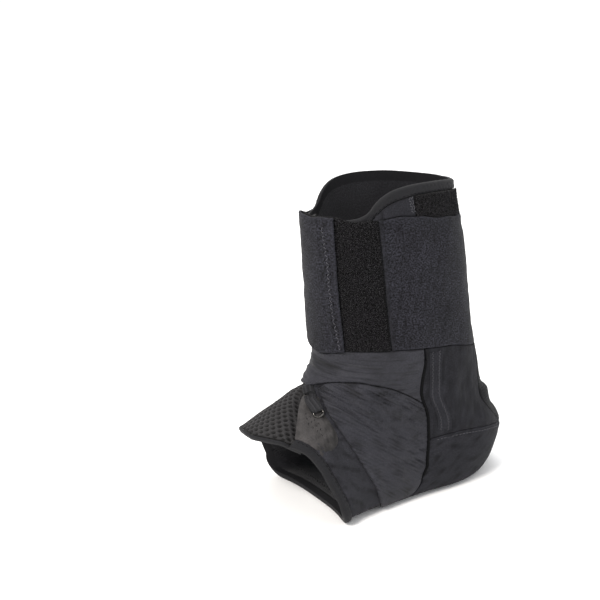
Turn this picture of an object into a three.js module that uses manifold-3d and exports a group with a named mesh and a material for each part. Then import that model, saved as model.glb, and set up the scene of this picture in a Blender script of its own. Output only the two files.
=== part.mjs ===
// Ankle brace for a left foot, empty and standing on its sole.
// Millimetres, +Z up, toes towards -X, heel towards +X, outer side of the ankle towards -Y.
import * as THREE from "three";
import { mergeVertices } from "three/addons/utils/BufferGeometryUtils.js";
import Module from "manifold-3d";

const wasm = await Module();
wasm.setup();

// Driving sizes of the inner form, the hollow that the boot's lining lies on
const reach = 163; // heel's back to the toe opening, along the instep
const rise = 180.5; // sole to the collar's back
const width = 91; // across the toe opening
const soleHeight = 5; // height of the flat sole in the form's own frame
const soleSoftness = 4.5; // rounding where the sole turns up into the sides

// Walls and clearances
const bootWall = 2;
const eyestayWall = 0.7;
const strapWall = 1.2;
const bandWall = 1.8;
const quarterWall = 1.8;
const achillesWall = 4.6;
const sideTapeWall = 0.6;
const pileWall = 1.3;
const hookWall = 0.7;
const cuffWall = 1.9;
const cuffEndWall = 1.3;
const tongueWall = 1.8;
const collarPanelWall = 0.8;
const collarPileWall = 1.2;
const bindingRise = 0.7; // how far a binding stands proud of the boot
const soleStack = 3.6; // boot and what is sewn under it, where the brace stands
const gap = 0.3; // between two layers
const bendRoom = 0.35; // added under a layer that goes round sharp bends, as its facets cut inside the curve
const seam = 0.4; // between two pieces side by side

// Widths of the bindings and small trim
const toeBindingWidth = 5;
const collarBindingWidth = 6;
const tongueEdgeWidth = 2.2;
const tongueEdgeRise = 0.2;
const laceTapeWidth = 7;
const laceTapeWall = 1;
const ringRadius = 3.3;
const ringWire = 0.75;
const ringEyeLength = 3.4;
const ringEyeShare = 0.8; // width of the tape's folded end, as a share of the tape's

// How far the laced front is turned towards the inner side, as a share of the way round
const laceTurn = 0.055;

// Facets of the boot: columns round the leg, and rows as shares of the way from the collar to the toes
const bootColumns = 34;
// Facets round the ring and round its wire
const ringFacets = 16;
const wireFacets = 6;
// They lie closer where the heel turns under
const heelRows = [0, 0.09, 0.16, 0.22, 0.28, 0.34, 0.4, 0.48, 0.6, 0.74, 0.88, 1];
const tongueRows = [0, 0.12, 0.24, 0.34, 0.4, 0.45, 0.5, 0.55, 0.6, 0.66, 0.72, 0.79, 0.86, 0.93, 1];
const bootRows = [
  0, 0.07, 0.15, 0.23, 0.31, 0.37, 0.42, 0.47, 0.51, 0.55, 0.59, 0.62, 0.65, 0.68, 0.71, 0.75, 0.8, 0.85,
  0.9, 0.95, 1,
];

// Rows of a table as objects with named columns
const withColumns = (columns, rows) =>
  rows.map((row) => Object.fromEntries(columns.map((name, i) => [name, row[i]])));

// Sections of the inner form from the collar down the leg, round the heel and along the foot.
// x is a share of reach, z of rise, half and lean of width; middle is where the section is widest.
const sections = withColumns(
  ["v", "frontX", "frontZ", "backX", "backZ", "half", "lean", "tilt", "middle", "square"],
  [
    [-0.12, 0.739, 1.075, 0.236, 1.147, 0.333, -0.099, 0.08, 0.5, 2.1],
    [0.0, 0.736, 0.942, 0.215, 1.0, 0.346, -0.077, 0.08, 0.5, 2.1],
    [0.12, 0.732, 0.809, 0.19, 0.854, 0.361, -0.055, 0.08, 0.5, 2.1],
    [0.24, 0.727, 0.665, 0.175, 0.696, 0.375, -0.027, 0.08, 0.5, 2.1],
    [0.36, 0.715, 0.512, 0.153, 0.521, 0.389, -0.005, 0.06, 0.5, 2.1],
    [0.48, 0.728, 0.46, 0.102, 0.299, 0.383, 0, 0.04, 0.46, 2.2],
    [0.6, 0.758, 0.419, 0.002, 0.136, 0.382, 0, 0.02, 0.42, 2.3],
    [0.7, 0.788, 0.384, 0.13, -0.018, 0.374, 0.005, 0, 0.4, 2.4],
    [0.8, 0.847, 0.364, 0.371, -0.022, 0.373, 0.016, 0, 0.38, 2.6],
    [0.9, 0.925, 0.328, 0.612, -0.019, 0.412, 0.033, 0, 0.36, 2.6],
    [1.0, 1.02, 0.272, 0.789, -0.016, 0.483, 0.033, 0, 0.36, 2.6],
  ],
);
const frontSquare = 2.1;

// Seam lines of the outer side. Each row is [u, v]: u goes round from the front (0) over the outer side
// (0.25) to the back and the sole (0.5), v goes down the leg and along the foot.
const collarTop = [
  [0, 0.012], [0.12, 0.012], [0.15, 0], [0.165, -0.02], [0.182, -0.036], [0.208, -0.048], [0.25, -0.05],
  [0.315, -0.04], [0.42, -0.018], [0.5, -0.012],
];
const cuffTop = [
  [0, 0], [0.07, 0], [0.105, 0.012], [0.165, 0.02], [0.225, 0.025], [0.26, 0.035], [0.3, 0.05],
  [0.375, 0.07], [0.5, 0.085],
];
const cuffFoot = [
  [0, 0.372], [0.035, 0.36], [0.075, 0.348], [0.15, 0.348], [0.198, 0.35], [0.235, 0.355],
  [0.307, 0.366], [0.38, 0.385], [0.5, 0.395],
];
const bandFoot = [
  [0, 0.69], [0.02, 0.645], [0.05, 0.59], [0.078, 0.545], [0.1, 0.517], [0.122, 0.505], [0.145, 0.5],
  [0.167, 0.503], [0.19, 0.522], [0.208, 0.548],
];
const rearLineTop = [[0.235, 0.355], [0.232, 0.395], [0.22, 0.45], [0.21, 0.515], [0.208, 0.548]];
const rearLineMiddle = [[0.208, 0.548], [0.208, 0.59], [0.213, 0.63], [0.222, 0.662]];
const rearLineFoot = [
  [0.222, 0.662], [0.24, 0.715], [0.275, 0.76], [0.307, 0.785], [0.328, 0.805], [0.35, 0.828],
  [0.39, 0.845], [0.44, 0.852], [0.5, 0.853],
];
const frontLine = [
  [0.03, 0.672], [0.055, 0.73], [0.088, 0.78], [0.112, 0.8], [0.14, 0.82], [0.182, 0.845],
  [0.218, 0.86], [0.27, 0.875], [0.312, 0.884], [0.363, 0.887], [0.43, 0.888], [0.5, 0.888],
];
const heelSeamSide = [
  [0.222, 0.662], [0.238, 0.64], [0.265, 0.617], [0.305, 0.6], [0.345, 0.588], [0.4, 0.583],
];
const heelSeamBack = [[0.4, 0.583], [0.45, 0.582], [0.5, 0.582]];
const achillesEdge = [[0.405, 0.388], [0.402, 0.435], [0.385, 0.5], [0.382, 0.545], [0.4, 0.583]];
const throatEdge = [
  [0.04, -0.06], [0.04, 0.2], [0.035, 0.36], [0.025, 0.5], [0.012, 0.62], [0.008, 0.7], [0.012, 0.765],
  [0.032, 0.825], [0.057, 0.88], [0.08, 0.925], [0.093, 0.955], [0.1, 1.0],
];
const eyestayEdge = [
  [0.045, 0.722], [0.078, 0.779], [0.106, 0.806], [0.128, 0.824], [0.145, 0.85], [0.15, 0.885],
  [0.15, 0.918],
];
const toeEdgeOuter = [
  [0, 1.012], [0.015, 1.006], [0.047, 0.988], [0.075, 0.969], [0.1, 0.953], [0.125, 0.944],
  [0.148, 0.945], [0.17, 0.95], [0.195, 0.96], [0.22, 0.966], [0.25, 0.975], [0.295, 0.985],
  [0.348, 0.99], [0.5, 0.992],
];
const toeEdgeInner = [
  [0, 1.012], [0.03, 1.012], [0.08, 1.004], [0.11, 0.99], [0.14, 0.97], [0.17, 0.958], [0.2, 0.96],
  [0.25, 0.972], [0.295, 0.985], [0.348, 0.99], [0.5, 0.992],
];
const laceRoute = [[0.014, 0.724], [0.03, 0.755], [0.052, 0.785], [0.076, 0.806]];
const sideTapeFront = [[0.243, 0.368], [0.236, 0.43], [0.224, 0.51], [0.221, 0.58], [0.226, 0.63]];
const sideTapeBack = [[0.275, 0.368], [0.262, 0.43], [0.248, 0.51], [0.243, 0.58], [0.246, 0.62]];

// Ends of the pieces round the leg, as shares of the way round
const pileFrom = -0.06;
const pileTo = 0.166;
const cuffFrom = 0.17;
const cuffTo = 1.075; // past one whole turn it lies over the pile
const hookFrom = -0.035;
const hookTo = 0.064;
const hookMargin = 0.014; // share of v that the hook pad stops short of the cuff's edges
const tongueMargin = 0.03; // how far the tongue reaches under the throat's edges
const panelFrom = 0.178;
const panelTo = 0.25;
const collarPileTo = 0.425;
const stirrupFrom = 0.04; // the strap starts here under the laced front
const climbFrom = 0.86; // the cuff strap's end rises off the boot here, onto the pile
const climbRoom = 0.005; // it is up this much before the pile begins

// The same along the leg, as shares of the way from the collar to the toes
const tongueFrom = 0.02;
const tongueTo = 0.93;
const bulgeFrom = 0.42;
const bulgeTo = 0.48;
const flushAbove = 0.006; // the collar's binding lies flush from here down to the cuff
const proudAbove = 0.02;

// Edges of the flat sole: round the foot, and behind the heel
const soleSide = [0.24, 0.315];
const soleHeel = [0.57, 0.64];

// Smooth value of one column at x, between rows whose key column is sorted
function smooth(table, key, column, x) {
  const last = table.length - 1;
  const slope = (i) => {
    const a = table[Math.max(i - 1, 0)];
    const b = table[Math.min(i + 1, last)];
    return (b[column] - a[column]) / (b[key] - a[key]);
  };
  if (x <= table[0][key]) return table[0][column] + slope(0) * (x - table[0][key]);
  if (x >= table[last][key]) return table[last][column] + slope(last) * (x - table[last][key]);
  const i = table.findIndex((row) => row[key] > x) - 1;
  const step = table[i + 1][key] - table[i][key];
  const t = (x - table[i][key]) / step;
  const a = table[i][column];
  const b = table[i + 1][column];
  return (
    a * (2 * t ** 3 - 3 * t ** 2 + 1) +
    b * (3 * t ** 2 - 2 * t ** 3) +
    slope(i) * step * (t ** 3 - 2 * t ** 2 + t) +
    slope(i + 1) * step * (t ** 3 - t ** 2)
  );
}

const lerp = (a, b, t) => a + (b - a) * t;
const mixPoint = (a, b, t) => [lerp(a[0], b[0], t), lerp(a[1], b[1], t)];
const fromFront = (u) => Math.abs(u - Math.round(u)); // 0 at the front, 0.5 at the back
const onLine = (line, u) => smooth(line, 0, 1, fromFront(u));
const toeEdge = (u) => onLine(u - Math.round(u) < 0 ? toeEdgeInner : toeEdgeOuter, u);

// The sole is flat, and turns up softly at its edges
function flatten(z) {
  const t = (z - soleHeight + soleSoftness) / (2 * soleSoftness);
  if (t <= 0) return soleHeight;
  return t >= 1 ? z : soleHeight + soleSoftness * t * t;
}

// Point of the inner form at u round and v along
function formPoint(u, v) {
  const at = (column) => smooth(sections, "v", column, v);
  const front = [at("frontX") * reach, at("frontZ") * rise];
  const back = [at("backX") * reach, at("backZ") * rise];
  const middle = at("middle");
  const cos = Math.cos(2 * Math.PI * u);
  const sin = Math.sin(2 * Math.PI * u);
  const power = cos >= 0 ? frontSquare : at("square");
  const r = (Math.abs(cos) ** power + Math.abs(sin) ** power) ** (-1 / power);
  const along = (cos >= 0 ? 1 - middle : middle) * cos * r;
  const side = at("half") * width * sin * r;
  const x = lerp(back[0], front[0], middle + along);
  const z = lerp(back[1], front[1], middle + along) + at("tilt") * side;
  return new THREE.Vector3(-x, -side - at("lean") * width, flatten(z));
}

// Outward direction of the inner form
function formNormal(u, v) {
  const d = 1e-3;
  const du = formPoint(u + d, v).sub(formPoint(u - d, v));
  const dv = formPoint(u, v + d).sub(formPoint(u, v - d));
  return dv.cross(du).normalize();
}

const lifted = (u, v, h) => formPoint(u, v).addScaledVector(formNormal(u, v), h);

// Closed solid between two grids of points, low and high, each an array of rows
function thickSheet(low, high) {
  const n = low.length;
  const m = low[0].length;
  const position = [];
  for (const p of [low, high].flat(2)) position.push(p.x, p.y, p.z);
  const id = (layer, i, j) => layer * n * m + i * m + j;
  const index = [];
  const quad = (a, b, c, d) => index.push(a, b, c, a, c, d);
  for (let i = 0; i < n - 1; i++) {
    for (let j = 0; j < m - 1; j++) {
      quad(id(1, i, j), id(1, i, j + 1), id(1, i + 1, j + 1), id(1, i + 1, j));
      quad(id(0, i, j), id(0, i + 1, j), id(0, i + 1, j + 1), id(0, i, j + 1));
    }
    quad(id(0, i, 0), id(1, i, 0), id(1, i + 1, 0), id(0, i + 1, 0));
    quad(id(0, i, m - 1), id(0, i + 1, m - 1), id(1, i + 1, m - 1), id(1, i, m - 1));
  }
  for (let j = 0; j < m - 1; j++) {
    quad(id(0, 0, j), id(0, 0, j + 1), id(1, 0, j + 1), id(1, 0, j));
    quad(id(0, n - 1, j), id(1, n - 1, j), id(1, n - 1, j + 1), id(0, n - 1, j + 1));
  }
  return solidOf(position, index);
}

// Manifold solid with its faces outward, whichever way its grid ran
function solidOf(position, index) {
  const vertProperties = new Float32Array(position);
  const make = (tri) =>
    new wasm.Manifold(new wasm.Mesh({ numProp: 3, vertProperties, triVerts: new Uint32Array(tri) }));
  const made = make(index);
  if (made.volume() > 0) return made;
  const turned = [];
  for (let i = 0; i < index.length; i += 3) turned.push(index[i], index[i + 2], index[i + 1]);
  return make(turned);
}

// A smooth line through the rows of a table, as points
function trace(line, steps = 12) {
  return new THREE.SplineCurve(line.map(([u, v]) => new THREE.Vector2(u, v)))
    .getSpacedPoints(steps)
    .map((p) => [p.x, p.y]);
}

// The same line on the inner side, with the laced front turned round by its share
function onInnerSide(points) {
  return points.map(([u, v]) => [-u - laceTurn * Math.max(0, 1 - u / 0.25) ** 2, v]);
}

// Both sides of a line as one, from the outer side's first point, by the sole or the back, to the inner side
function throughBack(points) {
  const inner = onInnerSide(points).slice(0, -1).reverse();
  return [...points, ...inner.map(([u, v]) => [u + 1, v])];
}

// Points of a line at given shares of its length
function resampleAtShares(points, shares) {
  const length = [0];
  for (let i = 1; i < points.length; i++) {
    const step = Math.hypot(points[i][0] - points[i - 1][0], points[i][1] - points[i - 1][1]);
    length.push(length[i - 1] + step);
  }
  return shares.map((share) => {
    const at = share * length[length.length - 1];
    const i = Math.min(Math.max(length.findIndex((x) => x >= at), 1), points.length - 1);
    return mixPoint(points[i - 1], points[i], (at - length[i - 1]) / (length[i] - length[i - 1]));
  });
}

const resample = (points, count) =>
  resampleAtShares(points, Array.from({ length: count }, (_, k) => k / (count - 1)));

// Piece of cloth on the form between two lines of [u, v] points, and between two end lines where they curve.
// low and high are its lower and upper face's heights over the form, as functions of u and v. It stops inset
// short of each line, so that two neighbours keep a seam between them.
function patch(lineA, lineB, low, high, { startLine, endLine, across = 6, inset = seam / 2 } = {}) {
  const n = Math.max(lineA.length, lineB.length);
  const a = lineA.length === n ? lineA : resample(lineA, n);
  const b = lineB.length === n ? lineB : resample(lineB, n);
  const shares = Array.isArray(across) ? across : Array.from({ length: across + 1 }, (_, j) => j / across);
  const fitted = (line) => (line.length === shares.length ? line : resampleAtShares(line, shares));
  const start = startLine && fitted(startLine);
  const end = endLine && fitted(endLine);
  const last = shares.length - 1;
  const place = (i, j) => {
    const s = i / (n - 1);
    const p = mixPoint(a[i], b[i], shares[j]);
    const straightStart = mixPoint(a[0], b[0], shares[j]);
    const straightEnd = mixPoint(a[n - 1], b[n - 1], shares[j]);
    for (const k of [0, 1]) {
      if (start) p[k] += (1 - s) * (start[j][k] - straightStart[k]);
      if (end) p[k] += s * (end[j][k] - straightEnd[k]);
    }
    return p;
  };
  const sheet = (height) => {
    const grid = a.map((_, i) =>
      shares.map((_, j) => {
        const [u, v] = place(i, j);
        return lifted(u, v, height(u, v));
      }),
    );
    const move = (i, j, di, dj) => {
      const way = grid[i + di][j + dj].clone().sub(grid[i][j]);
      if (way.length() > 2 * inset) grid[i][j].addScaledVector(way.normalize(), inset);
    };
    for (let i = 0; i < n; i++) {
      move(i, 0, 0, 1);
      move(i, last, 0, -1);
    }
    for (let j = 0; j <= last; j++) {
      move(0, j, 1, 0);
      move(n - 1, j, -1, 0);
    }
    return grid;
  };
  return thickSheet(sheet(low), sheet(high));
}

// Points of a line v(u) between two places round the leg
const span = (v, from, to, steps = 24) =>
  Array.from({ length: steps + 1 }, (_, k) => {
    const u = lerp(from, to, k / steps);
    return [u, v(u)];
  });

// Share of v that a width in millimetres takes at u and v
const probe = 0.01;
const shareOfV = (u, v, mm) => (mm * 2 * probe) / formPoint(u, v + probe).distanceTo(formPoint(u, v - probe));
const smoothStep = (a, b, x) => THREE.MathUtils.smoothstep(x, a, b);

// 1 on the flat sole, 0 on the sides and above the heel
const onSole = (u, v) => smoothStep(...soleSide, fromFront(u)) * smoothStep(...soleHeel, v);

const atHeight = (h) => () => h;
const overBoot = bootWall + gap;
const roundBends = atHeight(overBoot + bendRoom);
// Top of a layer of the given wall on the boot, which meets the common stack under the sole
const sewnOn = (wall) => (u, v) => lerp(overBoot + wall, soleStack, onSole(u, v));

const brace = new THREE.Group();

// Adds one solid as a named mesh
function addPiece(name, solid, color, roughness, metalness = 0) {
  const mesh = solid.getMesh();
  const flat = new Float32Array((mesh.vertProperties.length / mesh.numProp) * 3);
  for (let i = 0; i < flat.length; i++) {
    flat[i] = mesh.vertProperties[Math.floor(i / 3) * mesh.numProp + (i % 3)];
  }
  const geometry = new THREE.BufferGeometry();
  geometry.setAttribute("position", new THREE.BufferAttribute(flat, 3));
  geometry.setIndex(new THREE.BufferAttribute(new Uint32Array(mesh.triVerts), 1));
  geometry.computeVertexNormals();
  const piece = new THREE.Mesh(geometry, new THREE.MeshStandardMaterial({ color, roughness, metalness }));
  piece.name = name;
  brace.add(piece);
}

// Lines of both bindings: their inner edges lie a width in from the collar's and the toe opening's edge
const collarEdge = (u) => onLine(collarTop, u);
const collarInner = (u) => collarEdge(u) + shareOfV(u, collarEdge(u), collarBindingWidth);
const toeInner = (u) => toeEdge(u) - shareOfV(u, toeEdge(u) - probe, toeBindingWidth);
const cuffTopEdge = (u) => onLine(cuffTop, u);
const cuffFootEdge = (u) => onLine(cuffFoot, u);

// The throat's two edges, and the place round the leg where each stands at v
const throatOuter = trace(throatEdge, 40);
const throatInner = onInnerSide(throatOuter);
function placeAt(points, v) {
  const i = Math.min(Math.max(points.findIndex((p) => p[1] >= v), 1), points.length - 1);
  const [a, b] = [points[i - 1], points[i]];
  return lerp(a[0], b[0], (v - a[1]) / (b[1] - a[1]));
}

// Part of the throat's edge between two v, with its ends exactly there
function throatPart(points, from, to) {
  const between = points.filter(([, v]) => v > from && v < to);
  return [[placeAt(points, from), from], ...between, [placeAt(points, to), to]];
}

// Points of the seams that two neighbours share, so that their edges run side by side
const bandPoints = trace(bandFoot, 12);
const rearTopPoints = trace(rearLineTop, 6);
const rearMiddlePoints = trace(rearLineMiddle, 3);
const rearFootPoints = trace(rearLineFoot, 12);
const heelSidePoints = trace(heelSeamSide, 8);
const heelBackPoints = trace(heelSeamBack, 4);

// Where the throat's edge meets a line v(u)
function meet(edge, line) {
  let v = line(edge[0][0]);
  for (let k = 0; k < 30; k++) v = lerp(v, line(placeAt(edge, v)), 0.5);
  return v;
}
const endsOn = (line) => [
  placeAt(throatOuter, meet(throatOuter, line)),
  1 + placeAt(throatInner, meet(throatInner, line)),
];
const collarEnds = endsOn(collarInner);
const toeEnds = endsOn(toeInner);

function bootBody() {
  const side = (edge) => throatPart(edge, meet(edge, collarInner), meet(edge, toeInner));
  const outer = side(throatOuter);
  const inner = side(throatInner).map(([u, v]) => [u + 1, v]);
  const top = span(collarInner, ...collarEnds, bootColumns);
  const foot = span(toeInner, ...toeEnds, bootColumns);
  const edges = { startLine: outer, endLine: inner };
  return patch(top, foot, atHeight(0), atHeight(bootWall), { ...edges, across: bootRows });
}

function collarBinding() {
  const proud = (u, v) => bootWall + bindingRise * smoothStep(flushAbove, proudAbove, cuffTopEdge(u) - v);
  const [top, foot] = [collarEdge, collarInner].map((edge) => span(edge, ...collarEnds, bootColumns));
  return patch(top, foot, atHeight(0), proud, { across: 2 });
}

function toeBinding() {
  const [top, foot] = [toeInner, toeEdge].map((edge) => span(edge, ...toeEnds, bootColumns));
  return patch(top, foot, atHeight(0), sewnOn(bindingRise - gap), { across: 1 });
}

// The tongue lies under the throat and reaches past its edges on both sides
const tongueInner = (u) => toeEdge(u) - shareOfV(u, toeEdge(u) - probe, tongueEdgeWidth);
const tongueTop = -gap - bendRoom;
const tongueHigh = atHeight(tongueTop);
function tongue() {
  const side = (edge, margin) => throatPart(edge, tongueFrom, tongueTo).map(([u, v]) => [u + margin, v]);
  const outer = side(throatOuter, tongueMargin);
  const inner = side(throatInner, -tongueMargin);
  const foot = span(tongueInner, inner.at(-1)[0], outer.at(-1)[0], 10);
  outer.push(foot.at(-1));
  inner.push(foot[0]);
  const top = [inner[0], outer[0]];
  const low = atHeight(tongueTop - tongueWall);
  const edges = { startLine: inner, endLine: outer };
  return patch(resample(top, foot.length), foot, low, tongueHigh, { ...edges, across: tongueRows });
}

function tongueEdge() {
  const from = placeAt(throatInner, tongueTo) - tongueMargin;
  const to = placeAt(throatOuter, tongueTo) + tongueMargin;
  const low = atHeight(tongueTop - tongueWall - tongueEdgeRise);
  return patch(span(tongueInner, from, to, 14), span(toeEdge, from, to, 14), low, tongueHigh, { across: 1 });
}

function eyestay(flip) {
  const inner = throatPart(throatOuter, eyestayEdge[0][1], eyestayEdge.at(-1)[1]);
  const high = atHeight(overBoot + eyestayWall);
  const low = atHeight(overBoot + bendRoom / 2);
  return patch(flip(resample(inner, 13)), flip(trace(eyestayEdge, 12)), low, high, { across: 3 });
}

function stirrupStrap() {
  const underBand = bandPoints.filter(([u]) => u > stirrupFrom);
  const rear = [...underBand, ...rearMiddlePoints.slice(1), ...rearFootPoints.slice(1)];
  const front = resample(trace(frontLine, 40), rear.length);
  return patch(throughBack(front), throughBack(rear), roundBends, sewnOn(strapWall), { across: 6 });
}

function instepBand() {
  const inner = onInnerSide(rearTopPoints);
  const foot = [...onInnerSide(bandPoints).reverse(), ...bandPoints.slice(1)];
  const top = span(cuffFootEdge, inner[0][0], rearTopPoints[0][0], foot.length - 1);
  const high = atHeight(overBoot + bandWall);
  return patch(top, foot, atHeight(overBoot), high, { startLine: inner, endLine: rearTopPoints, across: 6 });
}

function rearQuarter(flip) {
  const front = [...rearTopPoints, ...rearMiddlePoints.slice(1)];
  const top = span(cuffFootEdge, front[0][0], achillesEdge[0][0], heelSidePoints.length - 1);
  return patch(flip(top), flip(heelSidePoints), roundBends, atHeight(overBoot + quarterWall), {
    startLine: flip(front),
    endLine: flip(trace(achillesEdge, front.length - 1)),
    across: front.length - 1,
  });
}

function heelCup() {
  const upper = [...heelSidePoints.slice(1), ...heelBackPoints.slice(1)];
  const lower = rearFootPoints.slice(1);
  return patch(throughBack(upper), throughBack(lower), roundBends, sewnOn(quarterWall), { across: heelRows });
}

function achillesPanel() {
  const outer = trace(achillesEdge, rearTopPoints.length + rearMiddlePoints.length - 2);
  const inner = outer.map(([u, v]) => [1 - u, v]);
  const foot = throughBack(heelBackPoints);
  const top = span(cuffFootEdge, outer[0][0], inner[0][0], foot.length - 1);
  const halfWidth = 0.5 - outer[0][0];
  const bulge = (u, v) => {
    const across = Math.cos((Math.PI / 2) * Math.min(Math.abs(u - 0.5) / halfWidth, 1));
    return overBoot + lerp(quarterWall, achillesWall, across * smoothStep(bulgeFrom, bulgeTo, v));
  };
  return patch(top, foot, roundBends, bulge, { startLine: outer, endLine: inner, across: outer.length - 1 });
}

function sideTape(flip) {
  const base = overBoot + quarterWall + gap;
  const [front, back] = [sideTapeFront, sideTapeBack].map((line) => flip(trace(line, 8)));
  return patch(front, back, atHeight(base), atHeight(base + sideTapeWall), { across: 1, inset: 0 });
}

const pileTop = overBoot + pileWall;
const hookTop = pileTop + gap + hookWall;

function cuffPile() {
  const [top, foot] = [cuffTopEdge, cuffFootEdge].map((edge) => span(edge, pileFrom, pileTo, 9));
  return patch(top, foot, atHeight(overBoot), atHeight(pileTop), { across: 6 });
}

// The strap starts beside the pile, goes round the leg and climbs over the pile with its end
function cuffStrap() {
  const climb = (u) => smoothStep(climbFrom, 1 + pileFrom - climbRoom, u);
  const low = (u) => lerp(overBoot, hookTop + gap, climb(u));
  const high = (u) => lerp(overBoot + cuffWall, hookTop + gap + cuffEndWall, climb(u));
  const [top, foot] = [cuffTopEdge, cuffFootEdge].map((edge) => span(edge, cuffFrom, cuffTo, 36));
  return patch(top, foot, low, high, { across: 6 });
}

function hookPad() {
  const top = (u) => cuffTopEdge(u) + hookMargin;
  const foot = (u) => cuffFootEdge(u) - hookMargin;
  const [upper, lower] = [top, foot].map((edge) => span(edge, hookFrom, hookTo, 4));
  return patch(upper, lower, atHeight(pileTop + gap), atHeight(hookTop), { across: 6, inset: 0 });
}

// Pieces on the high collar, between its binding and the cuff
function collarPiece(flip, from, to, wall, steps) {
  const [top, foot] = [collarInner, cuffTopEdge].map((edge) => flip(span(edge, from, to, steps)));
  return patch(top, foot, atHeight(overBoot), atHeight(overBoot + wall), { across: 2 });
}

// Lace tape on the eyestay and the wire ring in its end
function laceTapeAndRing(flip) {
  const base = overBoot + eyestayWall + gap;
  const route = flip(trace(laceRoute, 8));
  const last = route.length - 1;
  const spot = (k, h) => lifted(...route[k], h);
  const way = (k) => spot(Math.min(k + 1, last), base).sub(spot(Math.max(k - 1, 0), base)).normalize();
  const across = (k) => way(k).cross(formNormal(...route[k])).normalize();
  const sides = [-0.5, 0, 0.5];
  const tapeSheet = (h) =>
    route.map((_, k) => sides.map((x) => spot(k, h).addScaledVector(across(k), x * laceTapeWidth)));
  const tape = thickSheet(tapeSheet(base), tapeSheet(base + laceTapeWall));
  // the tape's end is folded round the ring's near side
  const up = formNormal(...route[last]);
  const ahead = way(last);
  const barHeight = base + laceTapeWall + gap;
  const bar = spot(last, barHeight).addScaledVector(ahead, -ringEyeLength / 2);
  const eyeHigh = barHeight + ringWire + gap + laceTapeWall;
  const eyeAcross = across(last).multiplyScalar(laceTapeWidth * ringEyeShare);
  const eyeSheet = (h) =>
    [-ringEyeLength, -ringEyeLength / 2, 0].map((a) =>
      sides.map((x) => spot(last, h).addScaledVector(ahead, a).addScaledVector(eyeAcross, x)),
    );
  const eye = thickSheet(eyeSheet(base), eyeSheet(eyeHigh));
  const centre = bar.clone().addScaledVector(ahead, ringRadius);
  const ringMatrix = new THREE.Matrix4().makeBasis(ahead, across(last), up).setPosition(centre);
  const torus = (wire) => {
    const geometry = new THREE.TorusGeometry(ringRadius, wire, wireFacets, ringFacets).applyMatrix4(ringMatrix);
    geometry.deleteAttribute("normal");
    geometry.deleteAttribute("uv");
    const merged = mergeVertices(geometry, 1e-4);
    return solidOf([...merged.attributes.position.array], [...merged.index.array]);
  };
  return { tape: tape.add(eye).subtract(torus(ringWire + gap)), ring: torus(ringWire) };
}

const cloth = 0.9;
addPiece("boot_body", bootBody(), 0x4a4a4e, cloth);
addPiece("tongue", tongue(), 0x4a4748, cloth);
addPiece("tongue_edge", tongueEdge(), 0x232124, cloth);
addPiece("front_binding", toeBinding(), 0x2f2f33, cloth);
addPiece("collar_binding", collarBinding(), 0x2f2f33, cloth);
addPiece("stirrup_strap", stirrupStrap(), 0x45464a, cloth);
addPiece("instep_band", instepBand(), 0x434347, cloth);
addPiece("heel_cup", heelCup(), 0x434448, cloth);
addPiece("achilles_panel", achillesPanel(), 0x232326, cloth);
addPiece("cuff_pile", cuffPile(), 0x211f21, 1);
addPiece("cuff_hook_pad", hookPad(), 0x1c1c1e, 0.7);
addPiece("cuff_strap", cuffStrap(), 0x404044, cloth);
for (const [where, flip] of [["outer", (points) => points], ["inner", onInnerSide]]) {
  const { tape, ring } = laceTapeAndRing(flip);
  addPiece(`eyestay_${where}`, eyestay(flip), 0x565452, cloth);
  addPiece(`rear_quarter_${where}`, rearQuarter(flip), 0x434448, cloth);
  addPiece(`side_tape_${where}`, sideTape(flip), 0x3a3a3d, cloth);
  const panel = collarPiece(flip, panelFrom, panelTo, collarPanelWall, 5);
  const pile = collarPiece(flip, panelTo, collarPileTo, collarPileWall, 8);
  addPiece(`collar_panel_${where}`, panel, 0x45464a, cloth);
  addPiece(`collar_pile_${where}`, pile, 0x211f21, 1);
  addPiece(`lace_tape_${where}`, tape, 0x2a2a2e, cloth);
  addPiece(`lace_ring_${where}`, ring, 0xc8c8cc, 0.25, 1);
}

// The origin is the middle of the box round the brace, at its foot
const box = new THREE.Box3().setFromObject(brace);
brace.position.set(-(box.min.x + box.max.x) / 2, -(box.min.y + box.max.y) / 2, -box.min.z);

export default brace;
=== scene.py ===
# Looks of the ankle brace: padded boot, straps, wide cuff, mesh tongue, bindings and stitches.
# Lengths of the form and its cloth are in millimetres here and turned to metres in each mesh.
import math

import bmesh
import bpy
import numpy as np
from mathutils import Matrix, Vector


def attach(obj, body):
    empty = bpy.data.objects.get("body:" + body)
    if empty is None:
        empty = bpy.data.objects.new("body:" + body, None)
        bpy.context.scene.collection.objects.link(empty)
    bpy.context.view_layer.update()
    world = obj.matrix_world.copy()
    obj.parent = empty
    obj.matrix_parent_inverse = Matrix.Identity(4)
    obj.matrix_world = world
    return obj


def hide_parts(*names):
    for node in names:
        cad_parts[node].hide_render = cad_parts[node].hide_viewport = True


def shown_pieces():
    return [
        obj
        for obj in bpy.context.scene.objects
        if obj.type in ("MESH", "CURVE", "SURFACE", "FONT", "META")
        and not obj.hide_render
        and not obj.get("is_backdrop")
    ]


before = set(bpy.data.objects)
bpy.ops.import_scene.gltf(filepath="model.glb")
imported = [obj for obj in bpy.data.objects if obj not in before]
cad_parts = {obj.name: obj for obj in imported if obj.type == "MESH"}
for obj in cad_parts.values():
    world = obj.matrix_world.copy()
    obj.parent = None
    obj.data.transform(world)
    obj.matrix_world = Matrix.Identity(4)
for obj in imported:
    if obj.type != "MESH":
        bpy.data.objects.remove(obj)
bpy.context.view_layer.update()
print("stage: frame loaded")

mm = 0.001

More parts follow.
